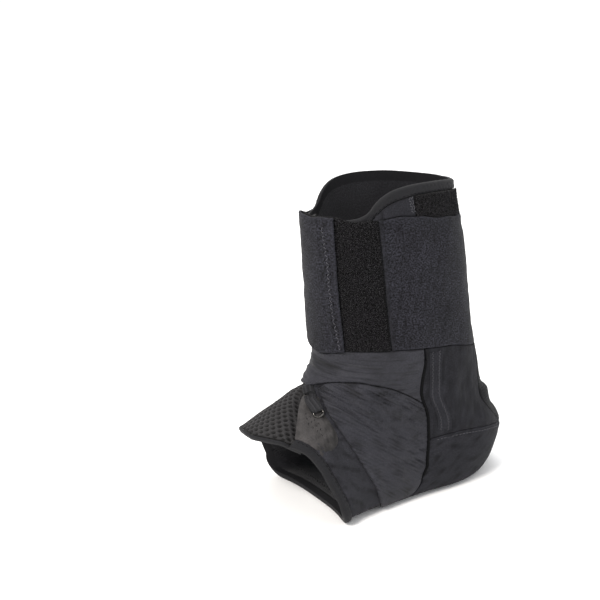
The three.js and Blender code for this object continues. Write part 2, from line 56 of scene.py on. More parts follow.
# Inner form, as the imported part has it: x shares of reach, z of rise, half and lean of width
form = {
    "reach": 163,
    "rise": 180.5,
    "width": 91,
    "soleHeight": 5,
    "soleSoftness": 4.5,
    "frontSquare": 2.1,
    "origin": np.array([80.93, 3.009, -1.4]),
    "laceTurn": 0.055,
    "throatShift": 0.03,
    "throatShiftAlong": (0.68, 0.78),
    "soleAround": (0.24, 0.315),
    "soleAlong": (0.57, 0.64),
}
sections = {
    "v": [-0.12, 0, 0.12, 0.24, 0.36, 0.48, 0.6, 0.7, 0.8, 0.9, 1],
    "frontX": [0.739, 0.736, 0.732, 0.727, 0.715, 0.728, 0.758, 0.788, 0.847, 0.925, 1.02],
    "frontZ": [1.075, 0.942, 0.809, 0.665, 0.512, 0.46, 0.419, 0.384, 0.364, 0.328, 0.272],
    "backX": [0.236, 0.215, 0.19, 0.175, 0.153, 0.102, 0.002, 0.13, 0.371, 0.612, 0.789],
    "backZ": [1.147, 1, 0.854, 0.696, 0.521, 0.299, 0.136, -0.018, -0.022, -0.019, -0.016],
    "half": [0.333, 0.346, 0.361, 0.375, 0.389, 0.383, 0.382, 0.374, 0.373, 0.412, 0.483],
    "lean": [-0.099, -0.077, -0.055, -0.027, -0.005, 0, 0, 0.005, 0.016, 0.033, 0.033],
    "tilt": [0.08, 0.08, 0.08, 0.08, 0.06, 0.04, 0.02, 0, 0, 0, 0],
    "middle": [0.5, 0.5, 0.5, 0.5, 0.5, 0.46, 0.42, 0.4, 0.38, 0.36, 0.36],
    "square": [2.1, 2.1, 2.1, 2.1, 2.1, 2.2, 2.3, 2.4, 2.6, 2.6, 2.6],
}

# Seams of the outer side: u round from the front over the outer side, v down the leg and along the foot
seams = {
    "collarTop": [
        (0, 0.012), (0.12, 0.012), (0.15, 0), (0.165, -0.02), (0.182, -0.036), (0.208, -0.048),
        (0.25, -0.05), (0.315, -0.04), (0.42, -0.018), (0.5, -0.012),
    ],
    "cuffTop": [
        (0, 0), (0.07, 0), (0.105, 0.012), (0.165, 0.02), (0.225, 0.025), (0.26, 0.035), (0.3, 0.05),
        (0.375, 0.07), (0.5, 0.085),
    ],
    "cuffFoot": [
        (0, 0.372), (0.035, 0.36), (0.075, 0.348), (0.15, 0.348), (0.198, 0.35), (0.235, 0.355),
        (0.307, 0.366), (0.38, 0.385), (0.5, 0.395),
    ],
    "bandFoot": [
        (0, 0.69), (0.02, 0.645), (0.05, 0.59), (0.078, 0.545), (0.1, 0.517), (0.122, 0.505),
        (0.145, 0.5), (0.167, 0.503), (0.19, 0.522), (0.208, 0.548),
    ],
    "rearLineTop": [(0.235, 0.355), (0.232, 0.395), (0.22, 0.45), (0.21, 0.515), (0.208, 0.548)],
    "rearLineMiddle": [(0.208, 0.548), (0.208, 0.59), (0.213, 0.63), (0.222, 0.662)],
    "rearLineFoot": [
        (0.222, 0.662), (0.24, 0.715), (0.275, 0.76), (0.307, 0.785), (0.328, 0.805), (0.35, 0.828),
        (0.39, 0.845), (0.44, 0.852), (0.5, 0.853),
    ],
    "frontLine": [
        (0.03, 0.672), (0.055, 0.73), (0.088, 0.78), (0.112, 0.8), (0.14, 0.82), (0.182, 0.845),
        (0.218, 0.86), (0.27, 0.875), (0.312, 0.884), (0.363, 0.887), (0.43, 0.888), (0.5, 0.888),
    ],
    "heelSeamSide": [
        (0.222, 0.662), (0.238, 0.64), (0.265, 0.617), (0.305, 0.6), (0.345, 0.588), (0.4, 0.583),
    ],
    "heelSeamBack": [(0.4, 0.583), (0.45, 0.582), (0.5, 0.582)],
    "achillesEdge": [(0.405, 0.388), (0.398, 0.435), (0.368, 0.5), (0.366, 0.545), (0.4, 0.583)],
    "throatEdge": [
        (0.04, -0.06), (0.04, 0.2), (0.035, 0.36), (0.025, 0.5), (0.012, 0.62), (0.008, 0.7), (0.012, 0.765),
        (0.032, 0.825), (0.057, 0.88), (0.08, 0.925), (0.093, 0.955), (0.1, 1),
    ],
    "eyestayEdge": [
        (0.045, 0.722), (0.078, 0.779), (0.106, 0.806), (0.128, 0.824), (0.145, 0.85), (0.15, 0.885),
        (0.15, 0.918),
    ],
    "toeEdgeOuter": [
        (0, 1.012), (0.015, 1.006), (0.047, 0.988), (0.075, 0.969), (0.1, 0.953), (0.125, 0.944),
        (0.148, 0.945), (0.17, 0.95), (0.195, 0.96), (0.22, 0.966), (0.25, 0.975), (0.295, 0.985),
        (0.348, 0.99), (0.5, 0.992),
    ],
    "toeEdgeInner": [
        (0, 1.012), (0.03, 1.012), (0.08, 1.004), (0.11, 0.99), (0.14, 0.97), (0.17, 0.958), (0.2, 0.96),
        (0.25, 0.972), (0.295, 0.985), (0.348, 0.99), (0.5, 0.992),
    ],
    "laceRoute": [
        (-0.006, 0.64), (-0.003, 0.662), (0.004, 0.695), (0.014, 0.724), (0.03, 0.755), (0.052, 0.785),
        (0.076, 0.806),
    ],
    "tabRow": [(0.047, 0.03), (0.055, 0.12), (0.056, 0.2), (0.06, 0.28), (0.066, 0.338)],
    "sideTapeFront": [(0.243, 0.368), (0.236, 0.43), (0.224, 0.51), (0.221, 0.58), (0.226, 0.63)],
    "sideTapeBack": [(0.275, 0.368), (0.262, 0.43), (0.248, 0.51), (0.243, 0.58), (0.246, 0.62)],
}

# Heights of the layers over the form; strap is the underside of all that is sewn on the boot
layer = {"boot": 2, "strap": 2.3, "quarter": 4.1, "band": 3.9, "sole": 3.6, "tongue": -0.65}
# Widths of the bindings, and heights of the waves that make the whole boot uneven
bindingWidth = {"collar": 6, "toe": 5, "tongue": 2.2}
unevenness = {"wide": 0.45, "narrow": 0.16}


def smoothCurve(xs, ys):
    # cubic through the rows of a table, straight beyond its ends
    xs, ys = np.array(xs, float), np.array(ys, float)
    before, after = np.maximum(np.arange(len(xs)) - 1, 0), np.minimum(np.arange(len(xs)) + 1, len(xs) - 1)
    slope = (ys[after] - ys[before]) / (xs[after] - xs[before])

    def value(x):
        x = np.asarray(x, float)
        i = np.clip(np.searchsorted(xs, x, side="right") - 1, 0, len(xs) - 2)
        step = xs[i + 1] - xs[i]
        t = (x - xs[i]) / step
        inside = (
            ys[i] * (2 * t**3 - 3 * t**2 + 1)
            + ys[i + 1] * (3 * t**2 - 2 * t**3)
            + slope[i] * step * (t**3 - 2 * t**2 + t)
            + slope[i + 1] * step * (t**3 - t**2)
        )
        low = ys[0] + slope[0] * (x - xs[0])
        high = ys[-1] + slope[-1] * (x - xs[-1])
        return np.where(x <= xs[0], low, np.where(x >= xs[-1], high, inside))

    return value


sectionAt = {name: smoothCurve(sections["v"], sections[name]) for name in sections if name != "v"}


def smoothStep(a, b, x):
    t = np.clip((np.asarray(x, float) - a) / (b - a), 0, 1)
    return t * t * (3 - 2 * t)


def bell(x, width):
    return np.exp(-((x / width) ** 2))


def fromFront(u):
    return np.abs(u - np.round(u))


def onLine(name):
    points = seams[name]
    curve = smoothCurve([p[0] for p in points], [p[1] for p in points])
    return lambda u: curve(fromFront(u))


def formPoint(u, v):
    u, v = np.broadcast_arrays(np.asarray(u, float), np.asarray(v, float))
    at = {name: curve(v) for name, curve in sectionAt.items()}
    cos, sin = np.cos(2 * np.pi * u), np.sin(2 * np.pi * u)
    power = np.where(cos >= 0, form["frontSquare"], at["square"])
    r = (np.abs(cos) ** power + np.abs(sin) ** power) ** (-1 / power)
    share = at["middle"] + np.where(cos >= 0, 1 - at["middle"], at["middle"]) * cos * r
    side = at["half"] * form["width"] * sin * r
    x = form["reach"] * (at["backX"] + (at["frontX"] - at["backX"]) * share)
    z = form["rise"] * (at["backZ"] + (at["frontZ"] - at["backZ"]) * share) + at["tilt"] * side
    t = (z - form["soleHeight"] + form["soleSoftness"]) / (2 * form["soleSoftness"])
    turned = form["soleHeight"] + form["soleSoftness"] * t * t
    z = np.where(t <= 0, form["soleHeight"], np.where(t >= 1, z, turned))
    return np.stack([-x, -side - at["lean"] * form["width"], z], -1) + form["origin"]


def unit(vectors):
    return vectors / np.maximum(np.linalg.norm(vectors, axis=-1, keepdims=True), 1e-9)


def formNormal(u, v):
    d = 1e-3
    along = formPoint(u, v + d) - formPoint(u, v - d)
    around = formPoint(u + d, v) - formPoint(u - d, v)
    return unit(np.cross(along, around))


def onSole(u, v):
    return smoothStep(*form["soleAround"], fromFront(u)) * smoothStep(*form["soleAlong"], v)


def ripple(x, y, seed, octaves=2):
    # soft uneven waves of about one wave per unit, the same each run
    draw = np.random.default_rng(seed)
    total = 0
    for octave in range(octaves):
        for _ in range(5):
            turn, phase = draw.uniform(0, 2 * np.pi, 2)
            pace = draw.uniform(0.7, 1.3) * 1.9**octave
            across = x * np.cos(turn) + y * np.sin(turn)
            total = total + np.sin(across * pace * 2 * np.pi + phase) / 1.9**octave
    return total / (2.2 * octaves**0.5)


def drape(points):
    # the whole boot is a little uneven, every layer alike, and true on the flat sole
    x, y, z = points[..., 0], points[..., 1], points[..., 2]
    wide = ripple(x / 48 + y / 70, z / 40, 3, 1) * unevenness["wide"]
    narrow = ripple(x / 21, z / 24 + y / 30, 4, 1) * unevenness["narrow"]
    return (wide + narrow) * smoothStep(6, 20, z)


def lifted(u, v, h):
    points = formPoint(u, v)
    return points + formNormal(u, v) * (np.asarray(h) + drape(points))[..., None]


def trace(points, steps):
    # smooth line through the rows of a seam, in evenly spaced points
    p = np.array(points, float)
    padded = np.vstack([p[:1], p, p[-1:]])
    t = np.linspace(0, 1, 24, endpoint=False)[:, None]
    parts = []
    for a, b, c, d in zip(padded[:-3], padded[1:-2], padded[2:-1], padded[3:]):
        v0, v1 = (c - a) / 2, (d - b) / 2
        parts.append((2 * b - 2 * c + v0 + v1) * t**3 + (3 * c - 3 * b - 2 * v0 - v1) * t**2 + v0 * t + b)
    dense = np.vstack([*parts, p[-1:]])
    return resample(dense, np.linspace(0, 1, steps + 1))


def resample(points, shares):
    length = np.concatenate([[0], np.cumsum(np.linalg.norm(np.diff(points, axis=0), axis=1))])
    at = np.asarray(shares) * length[-1]
    return np.stack([np.interp(at, length, points[:, k]) for k in range(points.shape[1])], -1)


def evenly(points):
    return resample(np.asarray(points), np.linspace(0, 1, 240))


def seamLine(name, steps=120):
    return trace(seams[name], steps)


def outward(points):
    return np.array(points, float)


def onInnerSide(points):
    # the same line on the inner side, with the laced front turned round by its share
    p = np.array(points, float)
    turn = form["laceTurn"] * np.maximum(0, 1 - p[:, 0] / 0.25) ** 2
    return np.stack([-p[:, 0] - turn, p[:, 1]], -1)


bothSides = (("outer", outward), ("inner", onInnerSide))


def throughBack(points):
    inner = onInnerSide(points)[:-1][::-1] + [1, 0]
    return np.vstack([points, inner])


def spanLine(edge, start, end, steps=200):
    u = np.linspace(start, end, steps)
    return np.stack([u, edge(u)], -1)


def shareOfV(u, v, width):
    probe = 0.01
    step = np.linalg.norm(formPoint(u, v + probe) - formPoint(u, v - probe), axis=-1)
    return width * 2 * probe / step


def wavering(edge, amount, seed):
    # cut edges of cloth aren't quite true
    return lambda u: edge(u) + amount * ripple(np.asarray(u, float) * 14, 0, seed)


collarEdge = onLine("collarTop")
cuffTopEdge = wavering(onLine("cuffTop"), 0.0012, 21)
cuffFootEdge = wavering(onLine("cuffFoot"), 0.001, 22)
toeOuter, toeInnerSide = onLine("toeEdgeOuter"), onLine("toeEdgeInner")


def toeEdge(u):
    return np.where(u - np.round(u) < 0, toeInnerSide(u), toeOuter(u))


def collarInner(u):
    return collarEdge(u) + shareOfV(u, collarEdge(u), bindingWidth["collar"])


def toeInner(u):
    return toeEdge(u) - shareOfV(u, toeEdge(u) - 0.01, bindingWidth["toe"])


def tongueFoot(u):
    return toeEdge(u) - shareOfV(u, toeEdge(u) - 0.01, bindingWidth["tongue"])


throatOuter = seamLine("throatEdge", 400)
throatShift = form["throatShift"] * smoothStep(*form["throatShiftAlong"], throatOuter[:, 1])
throatInner = onInnerSide(throatOuter) - np.outer(throatShift, [1, 0])


def placeAt(points, v):
    return np.interp(v, points[:, 1], points[:, 0])


def meet(edge, line):
    v = float(line(edge[0, 0]))
    for _ in range(40):
        v = 0.5 * (v + float(line(placeAt(edge, v))))
    return v


def throatPart(points, start, end):
    inside = points[(points[:, 1] > start) & (points[:, 1] < end)]
    return np.vstack([[placeAt(points, start), start], inside, [placeAt(points, end), end]])


def endsOn(line):
    return placeAt(throatOuter, meet(throatOuter, line)), 1 + placeAt(throatInner, meet(throatInner, line))


collarEnds, toeEnds = endsOn(collarInner), endsOn(toeInner)


def lineAt(points, shares):
    at = np.clip(shares, 0, 1) * (len(points) - 1)
    steps = np.arange(len(points))
    return np.stack([np.interp(at, steps, points[:, k]) for k in range(2)], -1)


# A patch of cloth between two seams, laid as a fine grid on the form.
# It stops inset short of the seams a, b, start and end, and has closer rows where its edge is rounded.
def layGrid(a, b, start=None, end=None, *, cell, inset=(0.2, 0.2, 0.2, 0.2), edge=0.8):
    a, b = evenly(a), evenly(b)
    start, end = (None if line is None else evenly(line) for line in (start, end))

    def place(s, t):
        onA, onB, t1 = lineAt(a, s), lineAt(b, s), t[..., None]
        p = onA * (1 - t1) + onB * t1
        if start is not None:
            p = p + (1 - s)[..., None] * (lineAt(start, t) - (a[0] * (1 - t1) + b[0] * t1))
        if end is not None:
            p = p + s[..., None] * (lineAt(end, t) - (a[-1] * (1 - t1) + b[-1] * t1))
        return p

    coarse = np.linspace(0, 1, 61)
    rough = formPoint(*np.moveaxis(place(*np.meshgrid(coarse, coarse, indexing="ij")), -1, 0))
    acrossLength = np.linalg.norm(np.diff(rough, axis=1), axis=-1).sum(1)
    alongLength = np.linalg.norm(np.diff(rough, axis=0), axis=-1).sum(0)
    rounding = edge * np.array([0, 0.06, 0.18, 0.38, 0.66, 1.0])

    def shares(length, first, last, cells):
        near, far = rounding + first, rounding + last
        squeeze = np.minimum(1, 0.3 * length / max(near[-1], far[-1]))[:, None]
        near = near[None] * squeeze / length[:, None]
        far = 1 - far[None] * squeeze / length[:, None]
        inner = np.linspace(0, 1, cells + 1)[None, 1:-1]
        middle = near[:, -1:] + (far[:, -1:] - near[:, -1:]) * inner
        return np.concatenate([near, middle, far[:, ::-1]], 1)

    sCells = max(2, int(alongLength.mean() / cell))
    tCells = max(2, int(acrossLength.mean() / cell))
    sBase = shares(alongLength.mean()[None], inset[2], inset[3], sCells)[0]
    tBase = shares(acrossLength.mean()[None], inset[0], inset[1], tCells)[0]
    t = shares(np.interp(sBase, coarse, acrossLength), inset[0], inset[1], tCells)
    s = shares(np.interp(tBase, coarse, alongLength), inset[2], inset[3], sCells).T
    u, v = np.moveaxis(place(s, t), -1, 0)
    points = formPoint(u, v)
    along = np.linalg.norm(np.diff(points, axis=0), axis=-1)
    across = np.linalg.norm(np.diff(points, axis=1), axis=-1)
    fromStart = np.vstack([np.zeros((1, along.shape[1])), np.cumsum(along, 0)])
    fromA = np.hstack([np.zeros((across.shape[0], 1)), np.cumsum(across, 1)])
    grid = {
        "u": u, "v": v, "point": points, "normal": formNormal(u, v),
        "fromStart": fromStart, "fromEnd": fromStart[-1:] - fromStart,
        "fromA": fromA, "fromB": fromA[:, -1:] - fromA, "edge": edge,
    }
    grid["fromEdge"] = np.minimum.reduce([grid[k] for k in ("fromStart", "fromEnd", "fromA", "fromB")])
    return grid


def roundedEdge(grid, lowest):
    # share of its thickness that the cloth has, from its folded edge inwards
    share = 1
    for side in ("fromStart", "fromEnd", "fromA", "fromB"):
        x = np.clip(grid[side] / grid["edge"], 0, 1)
        share = share * np.sqrt(np.maximum(0, 1 - (1 - x) ** 2))
    return lowest + (1 - lowest) * share


def newMesh(name, points, faces, edges=()):
    mesh = bpy.data.meshes.new(name)
    mesh.from_pydata((np.asarray(points) * mm).tolist(), edges, faces)
    return mesh


def newPiece(name, mesh):
    piece = bpy.data.objects.new(name, mesh)
    bpy.context.scene.collection.objects.link(piece)
    return piece


def finishPiece(piece, slot, *nodes):
    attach(piece, "root")
    if nodes:
        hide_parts(*nodes)
    return piece


def keepValues(mesh, name, values):
    mesh.attributes.new(name, "FLOAT", "POINT").data.foreach_set("value", values.astype(np.float32))


def keepCloth(mesh, places):
    # place of each point on its cloth, in millimetres, for the weave
    corner = np.zeros(len(mesh.loops), np.int32)
    mesh.loops.foreach_get("vertex_index", corner)
    mesh.uv_layers.new(name="cloth").data.foreach_set("uv", places[corner].astype(np.float32).ravel())


def gridFaces(ids):
    return np.stack([ids[:-1, :-1], ids[1:, :-1], ids[1:, 1:], ids[:-1, 1:]], -1).reshape(-1, 4).tolist()


def tubeFaces(rings, sides, closed=False):
    # round a tube of rings, with end caps unless it closes on itself
    ids = np.arange(rings * sides).reshape(rings, sides)
    here, ahead = (ids, np.roll(ids, -1, 0)) if closed else (ids[:-1], ids[1:])
    faces = np.stack([here, np.roll(here, -1, 1), np.roll(ahead, -1, 1), ahead], -1).reshape(-1, 4).tolist()
    return faces if closed else [*faces, ids[0].tolist()[::-1], ids[-1].tolist()]


# What the edges of all cloth share: gathers, and how far wear with a painted highlight and grime with painted
# shade reach from the edge
edgeSizes = {
    "gather": 0.16, "gatherWave": 3.4, "gatherReach": 3.5, "blend": 0.6, "wearAndHighlightReach": 1.3, "grimeAndShadeReach": 0.9,
    "sharpFrom": 62,
}


# Closed mesh of one piece: fine upper face, plainer lower face, and a skirt between them
def makeCloth(name, grid, low, high, relief, cloths, slot, nodes, lowest=0.35, coarse=4, grimeAndShade=0.4, dark=0):
    u, v, fromEdge = grid["u"], grid["v"], grid["fromEdge"]
    low, high = (np.broadcast_to(h(u, v) if callable(h) else h, u.shape) for h in (low, high))
    along, across = (distance / edgeSizes["gatherWave"] for distance in (grid["fromStart"], grid["fromA"]))
    near = bell(fromEdge, edgeSizes["gatherReach"])
    relief = relief + edgeSizes["gather"] * ripple(along - across, along + across, 71) * near
    top = low + (high - low) * roundedEdge(grid, lowest)
    top = top + relief * smoothStep(0, grid["edge"] + edgeSizes["blend"], fromEdge)
    shift = drape(grid["point"])
    upper, lower = (grid["point"] + grid["normal"] * (height + shift)[..., None] for height in (top, low))
    n, m = u.shape
    rows, columns = (sorted({*range(0, count, coarse), count - 1}) for count in (n, m))
    corners = np.ix_(rows, columns)
    ids = np.arange(n * m).reshape(n, m)
    below = n * m + np.arange(len(rows) * len(columns)).reshape(len(rows), len(columns))
    points = np.vstack([upper.reshape(-1, 3), lower[corners].reshape(-1, 3)])
    faces = gridFaces(ids)
    topCount = len(faces)
    faces += gridFaces(below.T)
    lowCount = len(faces)
    for line, foot, stops, turned in (
        (ids[:, 0], below[:, 0], rows, True),
        (ids[:, -1], below[:, -1], rows, False),
        (ids[0], below[0], columns, False),
        (ids[-1], below[-1], columns, True),
    ):
        for k in range(len(stops) - 1):
            strip = [*line[stops[k] : stops[k + 1] + 1].tolist(), int(foot[k + 1]), int(foot[k])]
            faces.append(strip[::-1] if turned else strip)
    i, j = n // 2, m // 2
    facing = np.cross(upper[i + 1, j] - upper[i, j], upper[i, j + 1] - upper[i, j])
    if facing @ grid["normal"][i, j] < 0:
        faces = [face[::-1] for face in faces]
    mesh = newMesh(name, points, faces)
    places = np.stack([grid[k] - grid[k].mean() for k in ("fromStart", "fromA")], -1)
    keepCloth(mesh, np.vstack([places.reshape(-1, 2), places[corners].reshape(-1, 2)]))
    # edges are painted lighter, partly wear and partly a painted highlight
    wearAndHighlight = bell(fromEdge, edgeSizes["wearAndHighlightReach"])
    # edges are painted darker, partly grime and partly painted shade where the pieces meet, added to the
    # darkening each piece is given
    shadeGrimeAndTone = np.clip(grimeAndShade * bell(fromEdge, edgeSizes["grimeAndShadeReach"]) + dark, 0, 0.9)
    for kept, values in (("edgeWearAndHighlight", wearAndHighlight), ("darkening", shadeGrimeAndTone)):
        keepValues(mesh, kept, np.concatenate([values.ravel(), np.zeros(below.size)]))
    for each in cloths:
        mesh.materials.append(finish[each])
    if len(cloths) > 1:  # the second cloth lines the lower face
        index = np.zeros(len(faces), np.int32)
        index[topCount:lowCount] = 1
        mesh.polygons.foreach_set("material_index", index)
    mesh.shade_smooth()
    mesh.set_sharp_from_angle(angle=math.radians(edgeSizes["sharpFrom"]))
    return finishPiece(newPiece(name, mesh), slot, *nodes)


# A fold starts and ends a little within its line, and tapers towards both ends
foldSizes = {"within": 0.06, "taper": 0.7}


def folds(grid, rows, side=outward):
    # each row: line of (u, v), height, width before the crest and width after it
    total = 0
    for line, height, before, after in rows:
        path = trace(side(line), 10)
        spots = formPoint(path[:, 0], path[:, 1])
        best, signed, share = np.full(grid["u"].shape, 1e9), 0, 0
        for k in range(len(spots) - 1):
            way = spots[k + 1] - spots[k]
            rest = grid["point"] - spots[k]
            t = np.clip(rest @ way / (way @ way), 0, 1)
            off = rest - t[..., None] * way
            gap = np.linalg.norm(off, axis=-1)
            which = (off * np.cross(grid["normal"], way)).sum(-1) < 0
            nearer = gap < best
            signed = np.where(nearer, which, signed)
            share = np.where(nearer, (k + t) / (len(spots) - 1), share)
            best = np.minimum(best, gap)
        width = np.where(signed, before, after)
        within = foldSizes["within"]
        run = np.clip(within + (1 - 2 * within) * share, 0, 1)
        fade = np.sin(np.pi * run) ** foldSizes["taper"]
        total = total + height * bell(best, width) * fade
    return total


# Finishes

def hexToLinear(code):
    parts = [int(code[k : k + 2], 16) / 255 for k in (1, 3, 5)]
    return tuple(c / 12.92 if c <= 0.04045 else ((c + 0.055) / 1.055) ** 2.4 for c in parts) + (1,)


def shade(code, factor):
    return tuple(c * factor for c in hexToLinear(code)[:3]) + (1,)


def addNode(tree, kind, links=None, **settings):
    node = tree.nodes.new(kind)
    for name, value in settings.items():
        setattr(node, name, value)
    for socket, value in (links or {}).items():
        if isinstance(value, bpy.types.NodeSocket):
            tree.links.new(value, node.inputs[socket])
        else:
            node.inputs[socket].default_value = value
    return node


# Weaves as steps of node math: a name, an operation and what it takes, as a name or a number
weaves = {
    # warp and weft pass over each other in turn
    "plain": (("up", "SINE", "along"), ("over", "SINE", "across"), ("wave", "MULTIPLY", "up", "over")),
    # cords run along the cloth, with a fine weft over them
    "rib": (
        ("cord", "SINE", "across"), ("cords", "MULTIPLY", "cord", 0.75),
        ("weft", "SINE", "along"), ("wave", "MULTIPLY_ADD", "weft", 0.25, "cords"),
    ),
    "twill": (("slant", "ADD", "along", "across"), ("wave", "SINE", "slant")),
    # rows of loops lean to and fro between their columns
    "knit": (
        ("sway", "SINE", "along"), ("lean", "MULTIPLY_ADD", "sway", 1.3, "across"), ("wave", "SINE", "lean"),
    ),
}


# One cloth: coloured threads, uneven dye, lint, and at its edges wear with a painted highlight and grime with
# painted shade
def clothFinish(name, cloth):
    material = bpy.data.materials.new(name)
    material.use_nodes = True
    tree = material.node_tree
    tree.nodes.clear()
    uv = addNode(tree, "ShaderNodeUVMap", uv_map="cloth").outputs["UV"]
    axes = addNode(tree, "ShaderNodeSeparateXYZ", {0: uv}).outputs
    place = addNode(tree, "ShaderNodeTexCoord").outputs["Object"]
    cloud, speck = (
        addNode(tree, "ShaderNodeTexNoise", {"Vector": at, "Scale": scale, "Detail": 3.0}).outputs["Fac"]
        for at, scale in ((place, 1 / (cloth["cloud"] * mm)), (uv, 1 / cloth["speck"]))
    )
    shadeGrimeAndTone, wearAndHighlight = (
        addNode(tree, "ShaderNodeAttribute", attribute_name=kept).outputs["Fac"]
        for kept in ("darkening", "edgeWearAndHighlight")
    )
    made = {"cloud": cloud, "speck": speck, "shadeGrimeAndTone": shadeGrimeAndTone, "wearAndHighlight": wearAndHighlight, "x": axes["X"], "y": axes["Y"]}
    along, across = (2 * math.pi / pitch for pitch in cloth["pitch"])
    fleck, thread, rough = cloth["fleck"], cloth["thread"], cloth["rough"]
    steps = (
        ("along", "MULTIPLY", "x", along), ("across", "MULTIPLY", "y", across),
        *weaves[cloth["weave"]], ("height", "MULTIPLY_ADD", "wave", 0.5, 0.5),
        ("mottle", "RANGE", "cloud", 0.3, 0.7, 0.0, 1.0),
        ("fleck", "RANGE", "speck", 0.38, 0.66, 1 - fleck, 1 + fleck),
        ("thread", "RANGE", "height", -0.5, 0.5, 1 - thread, 1 + thread),
        ("rough", "RANGE", "speck", 0.0, 1.0, rough - 0.06, rough + 0.06),
        # darkened by grime, painted shade and uneven tone
        ("cloth", "MULTIPLY", "fleck", "thread"), ("notDarkened", "SUBTRACT", 1.0, "shadeGrimeAndTone"),
        ("tone", "MULTIPLY", "cloth", "notDarkened"), ("highlightAndWear", "MULTIPLY", "wearAndHighlight", cloth["highlightAndWear"]),
        ("lint", "MULTIPLY_ADD", "speck", 0.6, "height"),
    )
    sockets = ("Value", "From Min", "From Max", "To Min", "To Max")
    for step, operation, *values in steps:
        values = [made.get(value, value) for value in values]
        if operation == "RANGE":
            node = addNode(tree, "ShaderNodeMapRange", dict(zip(sockets, values)))
        else:
            node = addNode(tree, "ShaderNodeMath", dict(enumerate(values)), operation=operation)
        made[step] = node.outputs[0]
    colour, mottle = cloth["colour"], cloth["mottle"]
    dyes = {0: made["mottle"], 6: shade(colour, 1 - mottle), 7: shade(colour, 1 + mottle)}
    dyed = addNode(tree, "ShaderNodeMix", dyes, data_type="RGBA").outputs[2]
    scaled = {0: dyed, "Scale": made["tone"]}
    toned = addNode(tree, "ShaderNodeVectorMath", scaled, operation="SCALE").outputs[0]
    # towards a lighter colour at the edges: wear with a painted highlight
    edges = {0: made["highlightAndWear"], 6: toned, 7: shade(colour, 2.2)}
    final = addNode(tree, "ShaderNodeMix", edges, data_type="RGBA").outputs[2]
    bumps = {"Strength": cloth["bump"], "Distance": cloth["depth"] * mm, "Height": made["lint"]}
    bump = addNode(tree, "ShaderNodeBump", bumps)
    looks = {
        "Base Color": final, "Roughness": made["rough"], "Normal": bump.outputs[0], "IOR": 1.46,
        "Sheen Roughness": 0.5, "Sheen Weight": cloth["sheen"], "Specular IOR Level": cloth["shine"],
    }
    shader = addNode(tree, "ShaderNodeBsdfPrincipled", looks)
    addNode(tree, "ShaderNodeOutputMaterial", {"Surface": shader.outputs[0]})
    return material


clothColumns = (
    "colour", "weave", "pitch", "depth", "bump", "rough", "speck",
    "fleck", "thread", "cloud", "mottle", "highlightAndWear", "sheen", "shine",
)
